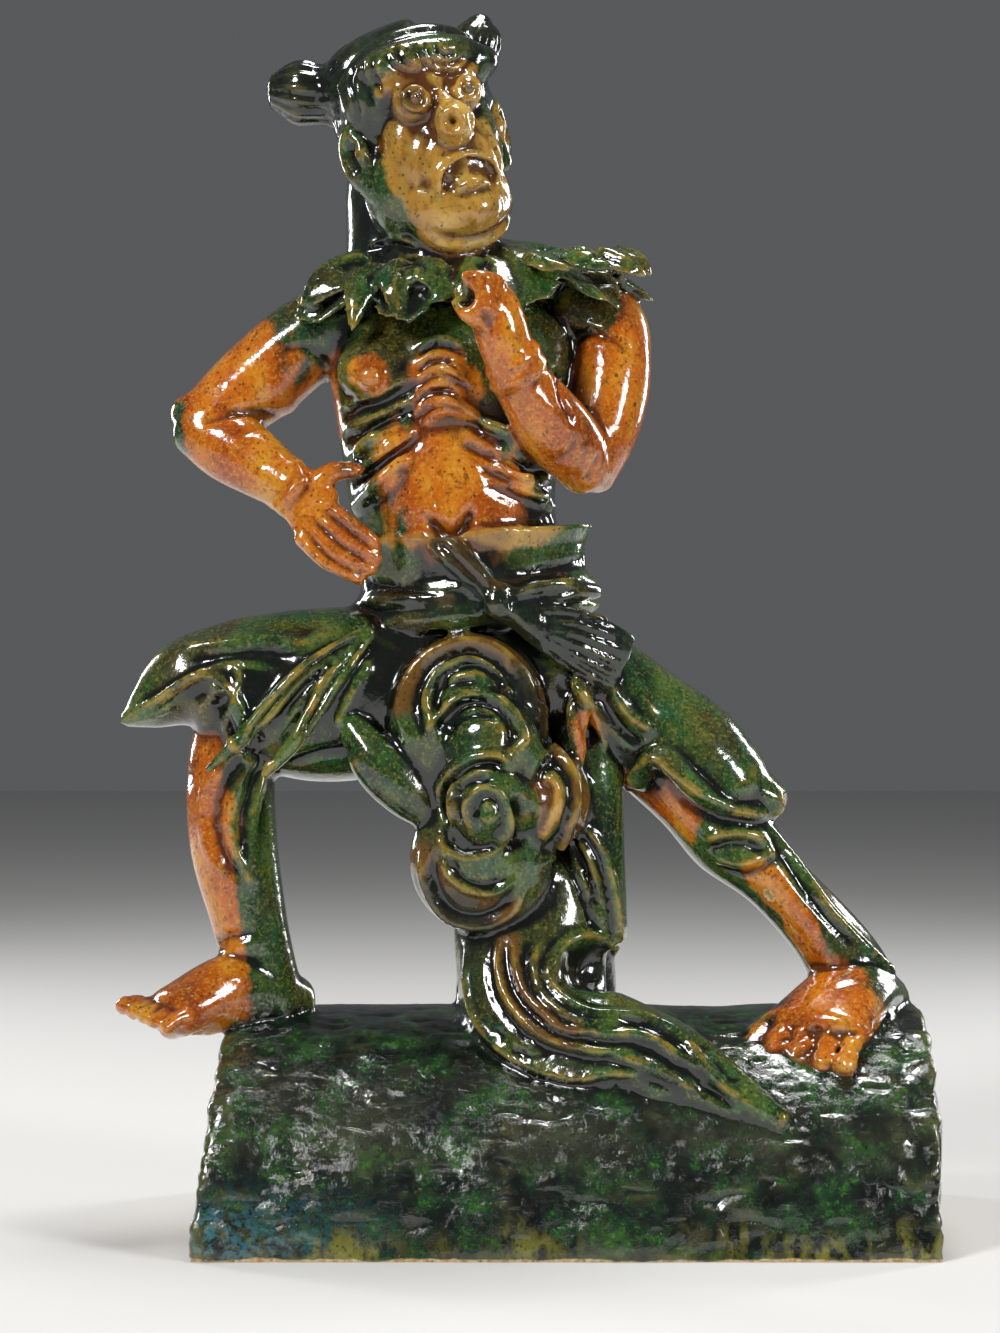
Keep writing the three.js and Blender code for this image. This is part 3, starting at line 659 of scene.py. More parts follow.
for x in (-27, 25):
    side = -1 if x < 0 else 1
    head_ball((x, -2, 2), (5.4, 7.5, 12))
    head_ball((x * 0.94, -4, -9), (3.6, 4.5, 5))
    head_tool(2.6, -4.2, (x + side * 3, -9, 8), (x + side * 5, -6, 3), (x + side * 3, -8, -5))


def ring_of(x, y, z, radius, points=12):
    """Points all the way round a circle that faces forwards on the head."""
    turns = [math.tau * i / points for i in range(points + 1)]
    return [(x + radius * math.cos(turn), y, z + radius * math.sin(turn)) for turn in turns]


for x in EYES:
    head_tool(1.0, -1.6, *ring_of(x, -26, 13.5, 7.4))
    head_tool(0.9, 0.9, *ring_of(x, -28, 13.5, 5.2))
    head_tool(0.9, -1.6, *ring_of(x, -30, 13.5, 3.3))
    head_tool(1.8, 1.4, (x - 0.3, -31, 13.7), (x + 0.3, -31, 13.3))
head_tool(1.1, 1.3, *ring_of(-3, -34, 2, 4, 8))
head_tool(2.1, -6, (-3.2, -35, 2.2), (-2.8, -35, 1.8))
head_tool(1.5, -4, (6.6, -34, 1.6), (7, -34, 1.2))
head_tool(1.1, -1.4, (-7.5, -26, 0), (-7, -27, 6), (-3.5, -26, 10))
head_tool(2.2, -5, (-5, -28, -15), (-2, -29, -13.6), (2, -30, -13), (6, -29, -13.6), (9.5, -28, -15))
head_tool(1.6, -2.8, (-5, -27, -15), (-6.5, -25, -18.5))
head_tool(1.6, -2.8, (9.5, -27, -15), (11, -25, -18.5))
for side, snout in ((-1, 0), (1, 2)):
    cheek = [(7, -28, 6), (10, -26, 0), (13.5, -24, -8), (15, -21, -17)]
    head_tool(1.3, -0.9, *[(snout + side * x, y, z) for x, y, z in cheek])
    head_tool(1.7, 0.6, *[(snout + side * (x + 2.6), y, z) for x, y, z in cheek])
head_tool(1.3, -1.1, (-5, -26, -20.5), (2, -28, -21.5), (9, -26, -20.5))
head_tool(1.8, -1.6, (-14, -18, -30), (2, -22, -37), (17, -17, -29))
head_tool(1.8, 1.2, (-16, -16, -33), (2, -19, -41), (18, -15, -32))
head_tool(1.2, -1.2, (-5, -27, 18), (0, -28, 16), (5, -27, 18))
set_aside("head")


# The hair, combed back in ropes to a bun on each side, with a rolled forelock and locks at the
# temple. It is laid on in rolls and combed with a toothed stick.
head_ball((0, 5, 15), (28, 27.5, 21))
head_ball((20, -12, 24), (8.5, 8.5, 6.5))
head_ball((-19, -6, 20), (10, 11, 12))
ball((-73, 2, 314), (13, 15, 13))
limb((-80, 2, 315, 8, 11), (-68, 0, 324, 9, 13), (-52, 0, 332, 8, 12), front=VIEWER)
limb((-58, 8, 302, 15, 15), (-61, 9, 280, 14, 15), (-60, 8, 264, 15, 16), (-57, 5, 246, 20, 17))
head_ball((-1, -15.5, 28), (23, 10.5, 8))
head_roll([(-27, -6, 25), (-16, -10, 34), (1, -11, 38), (16, -9, 35), (26, -4, 27)], 3.4, 0.8)
for lock in (
    [(-50.4, 330), (-47.3, 324), (-41.8, 320.7), (-34.8, 322), (-31, 326)],
    [(-47.3, 330.4), (-45, 325.7), (-40.6, 323.5), (-35.6, 325), (-33, 328)],
    [(-44.2, 330.4), (-42.6, 327.7), (-40, 326.6), (-36.8, 327.7)],
    [(-60.6, 328.5), (-59, 324), (-54.3, 321), (-49.6, 320)],
    [(-56.7, 329.8), (-55.6, 325.7), (-52.5, 323), (-48.6, 322)],
    [(-68.4, 327), (-69, 320.7), (-66.5, 314.4), (-65.3, 309.7)],
    [(-64.5, 328), (-65.3, 322), (-63, 316.8), (-62, 313)],
    [(-72, 324), (-73, 317), (-71, 310), (-70, 304)],
):
    tool(0.9, -1.8, *lock)
    tool(0.8, 1.0, *[(x + 0.6, z + 1.7) for x, z in lock])
COMB_STROKES = 17
for i in range(COMB_STROKES):
    angle = math.radians(188 + i * 164 / (COMB_STROKES - 1))
    x, y = math.cos(angle), -math.sin(angle)
    near, far = (27 * x, 5 + 26 * y, 17), (28 * x, 5 + 28 * y, 4)
    head_tool(1.0, -1.5, (7 * x, 5 + 7 * y, 37), (20 * x, 5 + 19 * y, 31), near, far)
for i in range(5):
    fall = -68 + i * 4.6
    tool(1.2, -1.5, (fall, 18, 296), (fall - 1, 21, 276), (fall - 1 + i * 0.4, 22, 252))


def bun(root, tip, *stations):
    """A tight bun, combed in lines from its root to the middle of its end."""
    limb(*stations, front=UP, tip=0.45, sides=40)
    root, tip = Vector(root), Vector(tip)
    run = (tip - root).normalized()
    across = run.cross(VIEWER).normalized()
    girth = max(station[3] for station in stations) + 1
    for i in range(14):
        angle = math.tau * i / 14
        out = (across * math.cos(angle) + run.cross(across) * math.sin(angle)) * girth
        line = [root + out, root.lerp(tip, 0.55) + out, tip + out * 0.75, tip + run * 4 + out * 0.15]
        tool(1.0, -1.3, *[tuple(point) for point in line])


bun(
    (-80, 3, 313),
    (-97, 3, 315),
    (-72, 3, 311, 10, 10),
    (-82, 3, 313, 10, 10),
    (-91, 3, 314.5, 11.5, 11.5),
    (-99.5, 3, 315, 7, 7),
)
bun(
    (-32, 5, 324),
    (-28, 6, 338),
    (-35, 5, 318, 7, 7),
    (-31, 5, 327, 8.6, 8.6),
    (-29, 6, 335, 8.8, 8.8),
    (-28, 6, 341, 4.5, 4.5),
)
set_aside("hair")


# The joining. The potter lutes all of it together, smooths it with a wet cloth and draws the
# details with sticks. Here the rolls of clay become one skin, and then the lines are drawn on it.
SKIN_GRAIN = 1.25  # mm between the points of the joined skin
WET_CLOTH = 2  # rounds of smoothing before the lines are drawn
CAMERA = (-7.3, -1150, 191.6)  # mm, from the middle of the footprint
EYE = Vector((CAMERA[0] - CREST.x / MM, CAMERA[1], CAMERA[2] - TILE_RADIUS))  # from the crest
PIECE_FACES = 190000


def as_object(name, body):
    mesh = bpy.data.meshes.new(name)
    body.to_mesh(mesh)
    made = bpy.data.objects.new(name, mesh)
    bpy.context.collection.objects.link(made)
    return made


def bake_modifiers(piece):
    """Makes what the piece's modifiers show its own mesh."""
    shown = piece.evaluated_get(bpy.context.evaluated_depsgraph_get())
    mesh = bpy.data.meshes.new_from_object(shown)
    piece.modifiers.clear()
    old, piece.data = piece.data, mesh
    bpy.data.meshes.remove(old)


def read_points(mesh):
    points = np.empty(len(mesh.vertices) * 3)
    mesh.vertices.foreach_get("co", points)
    normals = np.empty(len(mesh.vertices) * 3)
    mesh.vertices.foreach_get("normal", normals)
    return points.reshape(-1, 3), normals.reshape(-1, 3)


def write_points(mesh, points):
    mesh.vertices.foreach_set("co", points.ravel())
    mesh.update()


def neighbour_means(mesh, values, rounds, pull=0.5):
    """Draws a value of every point towards the mean of its neighbours, over and over."""
    ends = np.empty(len(mesh.edges) * 2, dtype=np.int64)
    mesh.edges.foreach_get("vertices", ends)
    a, b = ends.reshape(-1, 2).T
    count = len(mesh.vertices)
    degree = np.maximum(np.bincount(a, minlength=count) + np.bincount(b, minlength=count), 1)
    values = values.copy()
    columns = values.reshape(count, -1)
    for _ in range(rounds):
        for i in range(columns.shape[1]):
            total = np.bincount(a, columns[b, i], count) + np.bincount(b, columns[a, i], count)
            columns[:, i] += pull * (total / degree - columns[:, i])
    return values


def tree_of(mesh):
    mesh.calc_loop_triangles()
    corners = [vertex.co for vertex in mesh.vertices]
    return BVHTree.FromPolygons(corners, [tuple(t.vertices) for t in mesh.loop_triangles])


parts = list(lumps)
part_of_face = []
for number, lump in enumerate(lumps.values()):
    clay.from_mesh(lump)
    part_of_face += [number] * len(lump.polygons)
shape_tree = BVHTree.FromBMesh(clay)
figure = as_object("glazed_ridge_figure", clay)
remesh = figure.modifiers.new("luting", "REMESH")
remesh.mode = "VOXEL"
remesh.voxel_size = SKIN_GRAIN
bake_modifiers(figure)

skin = figure.data
points, normals = read_points(skin)
points = neighbour_means(skin, points, WET_CLOTH)
write_points(skin, points)


def on_skin(tree, spot):
    """Where a spot lies on the skin, and which way the skin faces there."""
    if len(spot) == 2:
        sight = (Vector((spot[0], 0, spot[1])) - EYE).normalized()
        hit, normal, _, _ = tree.ray_cast(EYE, sight)
    else:
        hit, normal, _, _ = tree.find_nearest(Vector(spot))
    return hit, normal


def draw_line(points, normals, tree, line, half_width, height):
    """Raises or presses in the skin along one drawn line, fading out at its two ends."""
    found = []
    samples = max(8, len(line) * 6)
    spots = [np.array(p, float) for p in line]
    for i in range(samples + 1):
        hit, normal = on_skin(tree, along_curve(spots, i / samples))
        if hit:
            found.append((*hit, *normal, i / samples))
    if not found:
        return
    found = np.array(found)
    reach = 2.4 * half_width
    near = np.flatnonzero(
        np.all((points > found[:, :3].min(0) - reach) & (points < found[:, :3].max(0) + reach), axis=1)
    )
    if not len(near):
        return
    gap = np.linalg.norm(points[near, None, :] - found[None, :, :3], axis=2)
    nearest = gap.argmin(1)
    distance = gap[np.arange(len(near)), nearest]
    share = found[nearest, 6]
    length = np.linalg.norm(spots[-1] - spots[0])
    closed = length < 2.5 * half_width  # a dot or a ring, which doesn't fade at its ends
    fade = np.ones(len(near)) if closed else np.clip(np.minimum(share, 1 - share) * 6 + 0.25, 0, 1)
    facing = np.clip(np.sum(normals[near] * found[nearest, 3:6], axis=1) * 1.6, 0, 1)
    lift = height * fade * facing * np.exp(-((distance / half_width) ** 2))
    points[near] += normals[near] * lift[:, None]


tree = tree_of(skin)
points, normals = read_points(skin)
for line, half_width, height in tooling:
    draw_line(points, normals, tree, line, half_width, height)
points = neighbour_means(skin, points, 1, 0.4)

# The tile is rough from the hand: it is wavy, pitted and dented, more so at its two ends, and is
# left smooth on the rims that it stands on.
ROUGH_TOP = 2  # mm over the crest where the roughness begins, growing over ROUGH_DEPTH
ROUGH_DEPTH = 6
RIM_HEIGHT = 1.5
ROUGH_END = 13
for i in np.flatnonzero(points[:, 2] < ROUGH_TOP):
    place = Vector(points[i])
    if place.z < RIM_HEIGHT - TILE_RADIUS:
        continue
    away = min(1, (ROUGH_TOP - place.z) / ROUGH_DEPTH)
    wave = noise.noise(place / 34) * 2.0 + noise.noise(place / 13) * 0.9
    scar = Vector((place.x / 9, place.y / 3.2, place.z / 3.2))
    pits = min(0, noise.noise(scar + Vector((9, 9, 9))) + 0.2) * 2.0 + noise.noise(place / 2.6) * 0.25
    if abs(place.x) > TILE_LENGTH / 2 - ROUGH_END:
        wave += noise.noise(place / 9 + Vector((3, 5, 1))) * 1.6
    points[i] += normals[i] * (wave + pits) * away
write_points(skin, points)

thin = figure.modifiers.new("thinning", "DECIMATE")
thin.ratio = min(1, PIECE_FACES / (2 * len(skin.polygons)))
bake_modifiers(figure)
skin = figure.data


# The glaze. Lead glazes of copper green, iron amber and manganese near-black are brushed on and run
# together in the kiln: thin and yellow on every edge, pooled deep in every hollow. The hollows are
# darkened further with painted shade, and the near-black is also laid as painted shade in the deepest cuts.
AMBER = [
    (
        "arms",
        22,
        (-92, 1, 228),
        (-104, 0, 215),
        (-116, -4, 204),
        (-104, -14, 186),
        (-90, -20, 176),
        (-68, -29, 158),
    ),
    (
        "arms",
        23,
        (17, -3, 222),
        (15, -8, 206),
        (9, -15, 184),
        (-6, -32, 200),
        (-16, -39, 213),
        (-25, -44, 240),
    ),
    ("trunk", 11, (-41, -26, 212), (-40, -26, 190), (-38, -28, 178)),
    ("trunk", 17, (-44, -28, 184), (-32, -28, 180)),
    ("trunk", 15, (-44, -28, 168), (-26, -28, 168)),
    ("trunk", 8, (-78, -6, 226), (-80, -4, 200)),
    ("trunk", 6, (-66, -28, 216), (-64, -28, 213)),
    ("head", 16, *on_head((-14, -20, 4), (-13, -20, -14), (0, -24, -26), (4, -25, -12))),
    ("head", 8, *on_head((-14, -22, 20), (12, -22, 20))),
    ("head", 11, *on_head((1, -33, 3), (3, -26, 16))),
    ("head", 9, *on_head((-2, -20, -36), (6, -20, -36))),
    ("head", 5, *on_head((24, -8, 4), (26, -6, 0))),
    ("legs", 15, (-124, -18, 92), (-124, -18, 70), (-122, -18, 48), (-116, -20, 30), (-112, -22, 20)),
    ("legs", 19, (-116, -24, 14), (-128, -34, 4), (-142, -40, 0)),
    ("legs", 12, (26, -16, 86), (36, -16, 78), (44, -18, 70)),
    ("legs", 8.5, (66, -20, 50), (73, -20, 40), (80, -20, 26), (84, -22, 12)),
    ("legs", 20, (88, -24, 0), (84, -36, -6), (76, -46, -12), (90, -46, -14)),
    ("cloud", 4, (-46, -40, 122), (-34, -40, 127), (-22, -40, 121)),
    ("cloud", 4.5, (-6, -42, 76), (-4, -42, 68), (-7, -42, 56)),
    ("cloud", 3, (-14, -42, 40), (-18, -42, 33)),
    ("trousers", 6, (8, -28, 96), (10, -28, 88)),
    ("sash", 5, (-62, -26, 150), (-48, -32, 148)),
    ("sash", 4, (-50, -33, 139), (-38, -33, 139)),
    ("sash", 6.5, (-66, -26, 162), (-40, -32, 160), (-14, -32, 160), (6, -26, 162)),
    ("sash", 3, (-24, -36, 144), (-34, -36, 151), (-42, -34, 158)),
    ("hair", 5, *on_head((-10, -22, 22), (2, -28, 22))),
]
BROWN = [
    ("cloud", 7, (-56, 106), (-46, 121), (-30, 126), (-14, 117), (-6, 102)),
    ("cloud", 8, (-4, 92), (4, 84), (8, 72), (4, 58)),
    ("cloud", 7, (-50, 50), (-38, 34), (-20, 32)),
    ("trail", 6, (-20, 20), (-14, 0), (2, -10)),
    ("trousers", 6, (10, 96), (16, 84), (18, 70)),
]
GREEN = [
    ("arms", 8, (-134, -5, 198), (-130, -5, 194)),
    ("arms", 13, (-92, -2, 246), (-86, -4, 234)),
    ("arms", 4.5, (-35, -48, 244), (-33, -50, 238)),
    ("arms", 7, (8, -10, 238), (-2, -10, 230)),
    ("head", 6, *on_head((-24, -6, -2), (-21, -8, -24))),
    ("head", 5, *on_head((19, -14, 6), (19, -12, -20))),
    ("legs", 7, (-104, -20, 84), (-102, -24, 40), (-100, -24, 10)),
    ("legs", 8, (52, -16, 62), (62, -20, 58), (74, -16, 58)),
    ("legs", 8, (86, -14, 46), (98, -14, 32), (108, -12, 18)),
    ("legs", 6, (50, -12, 50), (64, -14, 30), (72, -14, 16)),
]
# Where the near-black shows. On the hair and the sash it is the manganese glaze's own colour. In the cloud's
# deep undercut and the trail's thumbed pocket it is painted shade. The rest darken the end of a cloud curl,
# the foot of the cloud, the trail's left side, and a band and a patch on the tile's front.
NEAR_BLACK_AND_SHADE_DABS = [
    ("sash", 6, (-70, -22, 140), (-50, -30, 138), (-22, -35, 139), (8, -22, 144)),
    ("sash", 7, (-22, -35, 140), (-40, -34, 157)),
    ("sash", 14, (-18, -34, 136), (18, -28, 119)),
    ("hair", 30, (-60, 8, 300), (-60, 8, 262), (-58, 6, 246)),
    ("hair", 22, (-78, 3, 316), (-70, 3, 322)),
    ("hair", 22, *on_head((-26, 0, 22), (0, 4, 42), (26, -6, 26))),
    ("hair", 34, *on_head((0, 24, 20), (0, 26, 0))),
    ("hair", 16, (-92, 3, 314), (-30, 6, 336)),
    ("cloud", 8, (-14, -40, 112), (-6, -38, 98)),
    ("cloud", 4, (-17, -48, 70), (-15, -48, 64), (-18, -48, 56)),
    ("cloud", 9, (-50, -34, 40), (-30, -38, 30)),
    ("trail", 9, (-28, -20, 30), (-24, -30, 0)),
    ("trail", 9, (10, -26, 15), (14, -26, 14)),
    ("tile", 22, (-80, -30, -6), (110, -30, -8)),
    ("tile", 14, (-60, -62, -30), (20, -66, -34)),
]
PUPILS = [("head", 2, *on_head((x - 0.5, -30, 14), (x + 0.5, -30, 13.4))) for x in EYES]
CHIPS = [
    ("legs", 1.8, (70.6, 38.2), (71.4, 37.2)),
    ("trousers", 1.8, (76.5, 71), (77.5, 69.6)),
]
DAB_STEPS = 16


def dab(points, labels, dabs):
    """How much of a glaze each point has: a soft-edged brush drawn along each dab's line. A dab is
    its part, the radius of its brush and the points of its line."""
    amount = np.zeros(len(points))
    for name, radius, *line in dabs:
        mine = np.flatnonzero(labels == parts.index(name))
        spots = [np.array(p, float) for p in line]
        samples = [along_curve(spots, i / DAB_STEPS) for i in range(DAB_STEPS + 1)]
        if len(line[0]) == 2:
            samples = [hit for hit, _ in (on_skin(tree, sample) for sample in samples) if hit]
        gap = np.full(len(mine), 1e9)
        for sample in samples:
            gap = np.minimum(gap, np.linalg.norm(points[mine] - np.array(sample), axis=1))
        amount[mine] = np.maximum(amount[mine], np.clip(1.5 - gap / radius, 0, 1))
    return amount


EDGE_START, EDGE_RISE = 0.16, 0.24  # mm by which a point stands out where the glaze starts to thin
FINE_HOLLOW, BROAD_HOLLOW = 0.35, 1.4  # mm by which a point lies back where the pooled glaze and its painted shade are darkest
BARE_RIM, BARE_FADE = 2.8, 3.6  # mm up from the tile's rims that the glaze leaves bare, and its fading
GLAZE_RUN_IN = 4  # mm of the ends of the tile, above its hollow, that stay bare
points, normals = read_points(skin)
labels = np.array([part_of_face[shape_tree.find_nearest(Vector(p))[2]] for p in points])
amber = np.clip(dab(points, labels, AMBER) - dab(points, labels, GREEN), 0, 1)
amber = neighbour_means(skin, amber, 3)
ochre_parts = [parts.index(name) for name in ("head", "sash", "cloud", "hair", "trail")]
straw = neighbour_means(skin, np.isin(labels, ochre_parts).astype(float), 3)
brown = neighbour_means(skin, dab(points, labels, BROWN), 6)
# Near-black glaze, which in the cloud's undercut and the trail's pocket is painted shade.
near_black_and_shade = neighbour_means(skin, dab(points, labels, NEAR_BLACK_AND_SHADE_DABS), 6)
near_black_and_shade = np.maximum(near_black_and_shade, dab(points, labels, PUPILS))
sharp, fine, broad = [
    np.sum((points - neighbour_means(skin, points, rounds)) * normals, axis=1) for rounds in (4, 10, 60)
]
edge = neighbour_means(skin, np.clip((sharp - EDGE_START) / EDGE_RISE, 0, 1), 1)
# Pooled glaze in the hollows, darkened further with painted shade: the deeper a point lies back, the darker.
pool_and_shade = np.clip(-fine / FINE_HOLLOW, 0, 1) * 0.9 + np.clip(-broad / BROAD_HOLLOW, 0, 1) * 0.6
pool_and_shade = neighbour_means(skin, np.clip(pool_and_shade, 0, 1), 1)
tile = neighbour_means(skin, (labels == parts.index("tile")).astype(float), 4)
bare = np.clip((BARE_RIM - TILE_RADIUS - points[:, 2]) / BARE_FADE, 0, 1)
inside = np.hypot(points[:, 1], points[:, 2] + TILE_RADIUS) < TILE_RADIUS - TILE_WALL + GLAZE_RUN_IN
bare = np.maximum(bare, inside * tile)
bare = np.maximum(bare, dab(points, labels, CHIPS))
maps = dict(amber=amber, straw=straw, brown=brown, near_black_and_shade=near_black_and_shade, edge=edge, pool_and_shade=pool_and_shade, tile=tile, bare=bare)
for name, value in maps.items():
    attribute = skin.attributes.new(name, "FLOAT", "POINT")
    attribute.data.foreach_set("value", value.astype(np.float32))

skin.transform(Matrix.Translation(CREST) @ Matrix.Scale(MM, 4))
for polygon in skin.polygons:
    polygon.use_smooth = True


def linear(hex_colour):
    """An sRGB hex colour as the linear one that the shader works in."""
    channels = [int(hex_colour[i : i + 2], 16) / 255 for i in (1, 3, 5)]
    return (*[c / 12.92 if c <= 0.04045 else ((c + 0.055) / 1.055) ** 2.4 for c in channels], 1)


class Level:
    """What comes out of a node. Levels are added, taken away and multiplied by further nodes."""

    def __init__(self, socket):
        self.socket = socket

    def __add__(self, other):
        return add_node("Math", {0: self, 1: other}, operation="ADD")

    def __sub__(self, other):
        return add_node("Math", {0: self, 1: other}, operation="SUBTRACT")

    def __mul__(self, other):
        return add_node("Math", {0: self, 1: other}, operation="MULTIPLY")

    def clipped(self):
        return add_node("Clamp", {0: self})


def add_node(kind, inputs, out=0, **settings):
    """Adds a node to the glaze with its settings, sets or links its inputs, which go by name or
    by number, and gives back what comes out of it."""
    node = glaze.node_tree.nodes.new("ShaderNode" + kind)
    for name, value in settings.items():
        setattr(node, name, value)
    for name, value in inputs.items():
        if isinstance(value, Level):
            glaze.node_tree.links.new(value.socket, node.inputs[name])
        else:
            node.inputs[name].default_value = value
    return Level(node.outputs[out]) if node.outputs else None


# Sancai lead glaze over fired clay: glassy and very glossy, streaked where it ran, with iron specks
# and pinholes. The eye gets deep green and amber with yellow edges, dark hollows and sharp lights.
glaze = bpy.data.materials.new("running_lead_glaze")
glaze.use_nodes = True
glaze.node_tree.nodes.clear()
place = add_node("TexCoord", {}, "Object")
runs = add_node("Mapping", {"Vector": place, "Scale": (1, 1, 0.45)})
layer = {name: add_node("Attribute", {}, "Fac", attribute_name=name) for name in maps}


def patches(size_mm, detail=3, roughness=0.55, where=runs):
    """Soft patches of about the given size."""
    inputs = {"Vector": where, "Scale": 1000 / size_mm, "Detail": detail, "Roughness": roughness}
    return add_node("TexNoise", inputs)


def graded(level, *stops):
    """Turns a level into the colours or levels given at its stops."""
    result = add_node("ValToRGB", {0: level})
    band = result.socket.node.color_ramp
    while len(band.elements) < len(stops):
        band.elements.new(0.5)
    for element, (position, colour) in zip(band.elements, stops):
        element.position = position
        element.color = linear(colour) if isinstance(colour, str) else (colour, colour, colour, 1)
    return result


def washed(under, *washes):
    """Lays washes over a glaze. Each is its colour and a level that says where it shows, and
    after that the level's stops, if it needs any."""
    for colour, where, *stops in washes:
        share = graded(where, *stops) if stops else where
        over = linear(colour) if isinstance(colour, str) else colour
        under = add_node("Mix", {0: share, 6: under, 7: over}, 2, data_type="RGBA")
    return under


def specks(pitch_mm, share):
    """Round specks, one to a cell of the given size, where the share of the cell is its radius."""
    cells = add_node("TexVoronoi", {"Vector": place, "Scale": 1000 / pitch_mm})
    return graded(cells, (share * 0.6, 1.0), (share, 0.0))


drift = patches(16)
flecks = patches(5)
dust = patches(1.3, 4, 0.7, place)
grit = patches(2.4, 5, 0.75, place)
breaks = graded(patches(8, 2, 0.5, place), (0.4, 0.3), (0.56, 1.0))
edges = (layer["edge"] * ((flecks + dust) * 0.8)).clipped() * breaks
green = washed(
    graded(drift, (0.32, "#0E2416"), (0.43, "#1B3C1B"), (0.54, "#35531F"), (0.66, "#5A682A")),
    ("#1C6440", flecks, (0.5, 0.0), (0.7, 0.55)),
    ("#47381A", patches(24, 4), (0.46, 0.0), (0.62, 0.8)),
    ("#0B1A10", grit, (0.36, 0.75), (0.5, 0.0)),
    ("#7F8238", dust, (0.52, 0.0), (0.64, 0.6)),
    ("#6C4716", layer["brown"] * (drift + flecks), (0.34, 0.0), (0.8, 0.85)),
    ("#A0842C", edges, (0.2, 0.0), (0.85, 0.85)),
    # Pooled glaze and painted shade in the hollows, near-black.
    ("#060B08", layer["pool_and_shade"], (0.1, 0.0), (0.6, 0.97)),
)
ochre = washed(
    graded(drift, (0.3, "#6B4A1E"), (0.45, "#9A742C"), (0.6, "#B8913F"), (0.75, "#C9A95A")),
    ("#7E7A34", flecks, (0.5, 0.0), (0.66, 0.5)),
    ("#6B3C14", grit, (0.36, 0.6), (0.48, 0.0)),
)
amber_tone = washed(
    graded(drift, (0.3, "#783004"), (0.42, "#A64A05"), (0.54, "#BE660B"), (0.68, "#CC8B22")),
    ("#6A2C04", grit, (0.36, 0.75), (0.48, 0.0)),
    ("#D8A23C", dust, (0.5, 0.0), (0.68, 0.6)),
    (ochre, layer["straw"] * 0.9),
    ("#D29A4A", edges, (0.2, 0.0), (0.9, 0.45)),
    # Pooled amber and painted shade in the hollows, dark brown.
    ("#451806", layer["pool_and_shade"], (0.12, 0.0), (0.75, 0.85)),
)
# The near-black tone: the manganese glaze, and also painted shade in the deepest cuts.
night_and_shade = washed(
    linear("#0F1512"),
    ("#6A6436", edges, (0.3, 0.0), (0.9, 0.55)),
    ("#2A3B30", flecks, (0.5, 0.0), (0.75, 0.6)),
)
streaks = patches(9) + drift - 1.0
body = washed(
    green,
    (amber_tone, layer["amber"] + streaks * 1.3, (0.36, 0.0), (0.6, 1.0)),
    # Near-black, partly the glaze and partly painted shade in the deepest cuts.
    (night_and_shade, layer["near_black_and_shade"] + (drift - 0.5) * 0.8, (0.35, 0.0), (0.75, 0.88)),
)

# The tile's own green is darker and rougher: mottled, worn to straw in a band, bluish at its low
# left corner and yellow along its rims.
mottle = patches(14, 5, 0.65, place)
scale_marks = patches(3.2, 4, 0.7, place)
bright = graded(grit, (0.54, 0.0), (0.62, 1.0)) * graded(mottle, (0.5, 0.0), (0.6, 1.0))
level = add_node("SeparateXYZ", {0: place}, "Z") + mottle * 0.03
worn = graded(level, (0.04, 0.0), (0.053, 1.0), (0.075, 0.0))
left = (add_node("SeparateXYZ", {0: place}, "X") * -14 - 0.5).clipped()
low = graded(level, (0.025, 1.0), (0.04, 0.0)) * graded(scale_marks, (0.45, 0.0), (0.6, 1.0))
rim = graded(level, (0.018, 1.0), (0.026, 0.0)) * graded(flecks, (0.44, 0.0), (0.56, 0.9))
tile_green = washed(
    graded(mottle, (0.38, "#060B09"), (0.48, "#0D1912"), (0.56, "#15301B"), (0.66, "#274C20")),
    ("#3F7A28", bright * 0.75),
    ("#3F4130", worn * graded(patches(18), (0.4, 0.1), (0.6, 0.75))),
    ("#3C7480", left * low),
    ("#7C7A26", rim * graded(patches(45), (0.42, 0.15), (0.55, 1.0))),
    ("#070C0A", grit, (0.36, 0.8), (0.46, 0.0)),
    ("#6A6A3C", layer["edge"] * 0.5),
)
clay_tone = graded(grit, (0.4, "#AC8448"), (0.6, "#DCC598"))
bare_share = graded(layer["bare"] + (drift - 0.5) * 1.2, (0.45, 0.0), (0.6, 1.0))

# Iron specks in two sizes, drawn a little coarser than the real ones so that they show.
small_specks = specks(2.2, 0.26) * graded(flecks, (0.4, 0.0), (0.56, 1.0))
large_specks = specks(7, 0.13) * graded(drift, (0.4, 0.0), (0.55, 1.0))
speckled = (small_specks + large_specks).clipped()
body = washed(body, (tile_green, layer["tile"]), (clay_tone, bare_share), ("#2A1408", speckled * 0.7))

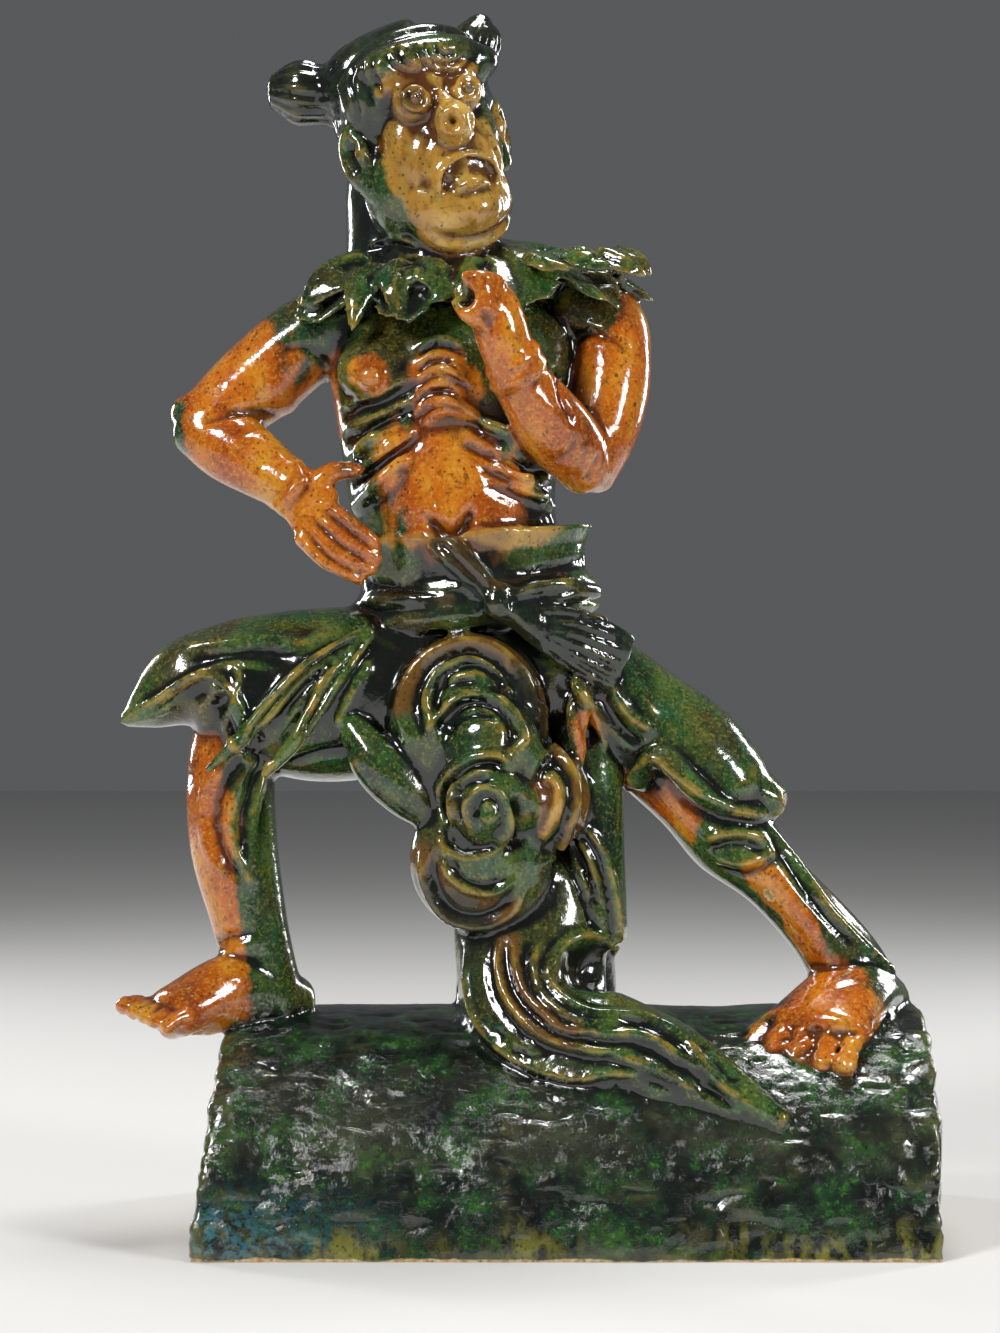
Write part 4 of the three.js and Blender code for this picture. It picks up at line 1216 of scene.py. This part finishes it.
tile_marks = layer["tile"] * ((grit + scale_marks).clipped() * 2.2)
dimples = patches(2.6, 3, 0.5, place) + tile_marks
bump = add_node("Bump", {"Height": dimples, "Strength": 0.3, "Distance": 0.0005})
surface = add_node(
    "BsdfPrincipled",
    {
        "Base Color": body,
        "Roughness": graded(flecks, (0.3, 0.12), (0.7, 0.26)) + bare_share * 0.6,
        "IOR": 1.5,
        "Specular IOR Level": 0.25,
        "Coat Weight": 1.0,
        "Coat Roughness": 0.07,
        "Coat IOR": 1.6,
        "Normal": bump,
        "Coat Normal": bump,
    },
)
add_node("OutputMaterial", {"Surface": surface})

skin.materials.clear()
skin.materials.append(glaze)
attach(figure, "root")
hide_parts("roof_ridge_figure")


# The stand: a plain pale floor, soft studio lights and the camera, level and at the figure's belt.
floor_body = bmesh.new()
bmesh.ops.create_grid(floor_body, x_segments=1, y_segments=1, size=4)
floor = as_object("studio_floor", floor_body)
paper = bpy.data.materials.new("pale_paper")
paper.use_nodes = True
paper.node_tree.nodes["Principled BSDF"].inputs["Base Color"].default_value = linear("#DEDDDA")
paper.node_tree.nodes["Principled BSDF"].inputs["Roughness"].default_value = 0.8
floor.data.materials.append(paper)

sky = bpy.data.worlds.new("studio")
sky.use_nodes = True
sky.node_tree.nodes["Background"].inputs["Color"].default_value = linear("#C9CBCF")
sky.node_tree.nodes["Background"].inputs["Strength"].default_value = 0.17
bpy.context.scene.world = sky
bpy.context.scene.view_settings.view_transform = "Standard"


def softbox(name, place, size, power):
    lamp = bpy.data.lights.new(name, "AREA")
    lamp.shape = "RECTANGLE"
    lamp.size, lamp.size_y = size
    lamp.energy = power
    made = bpy.data.objects.new(name, lamp)
    made.location = place
    made.rotation_euler = (Vector((0, 0, 0.2)) - Vector(place)).to_track_quat("-Z", "Y").to_euler()
    bpy.context.collection.objects.link(made)


softbox("key_left", (-0.9, -1.1, 1.15), (0.4, 0.4), 19)
softbox("fill_right", (1.1, -0.9, 0.7), (0.3, 0.4), 9)
softbox("top", (0.1, 0.1, 1.3), (0.4, 0.3), 8)
softbox("back_left", (-0.9, 0.7, 0.5), (0.2, 0.6), 5)
softbox("back_right", (0.9, 0.7, 0.5), (0.2, 0.6), 5)

lens = bpy.data.cameras.new("camera")
lens.sensor_fit = "VERTICAL"
lens.sensor_height = 36
lens.lens = 90.3
lens.clip_start = 0.01
camera = bpy.data.objects.new("camera", lens)
camera.location = [c * MM for c in CAMERA]
camera.rotation_euler = (math.radians(90), 0, 0)
bpy.context.collection.objects.link(camera)
bpy.context.scene.camera = camera
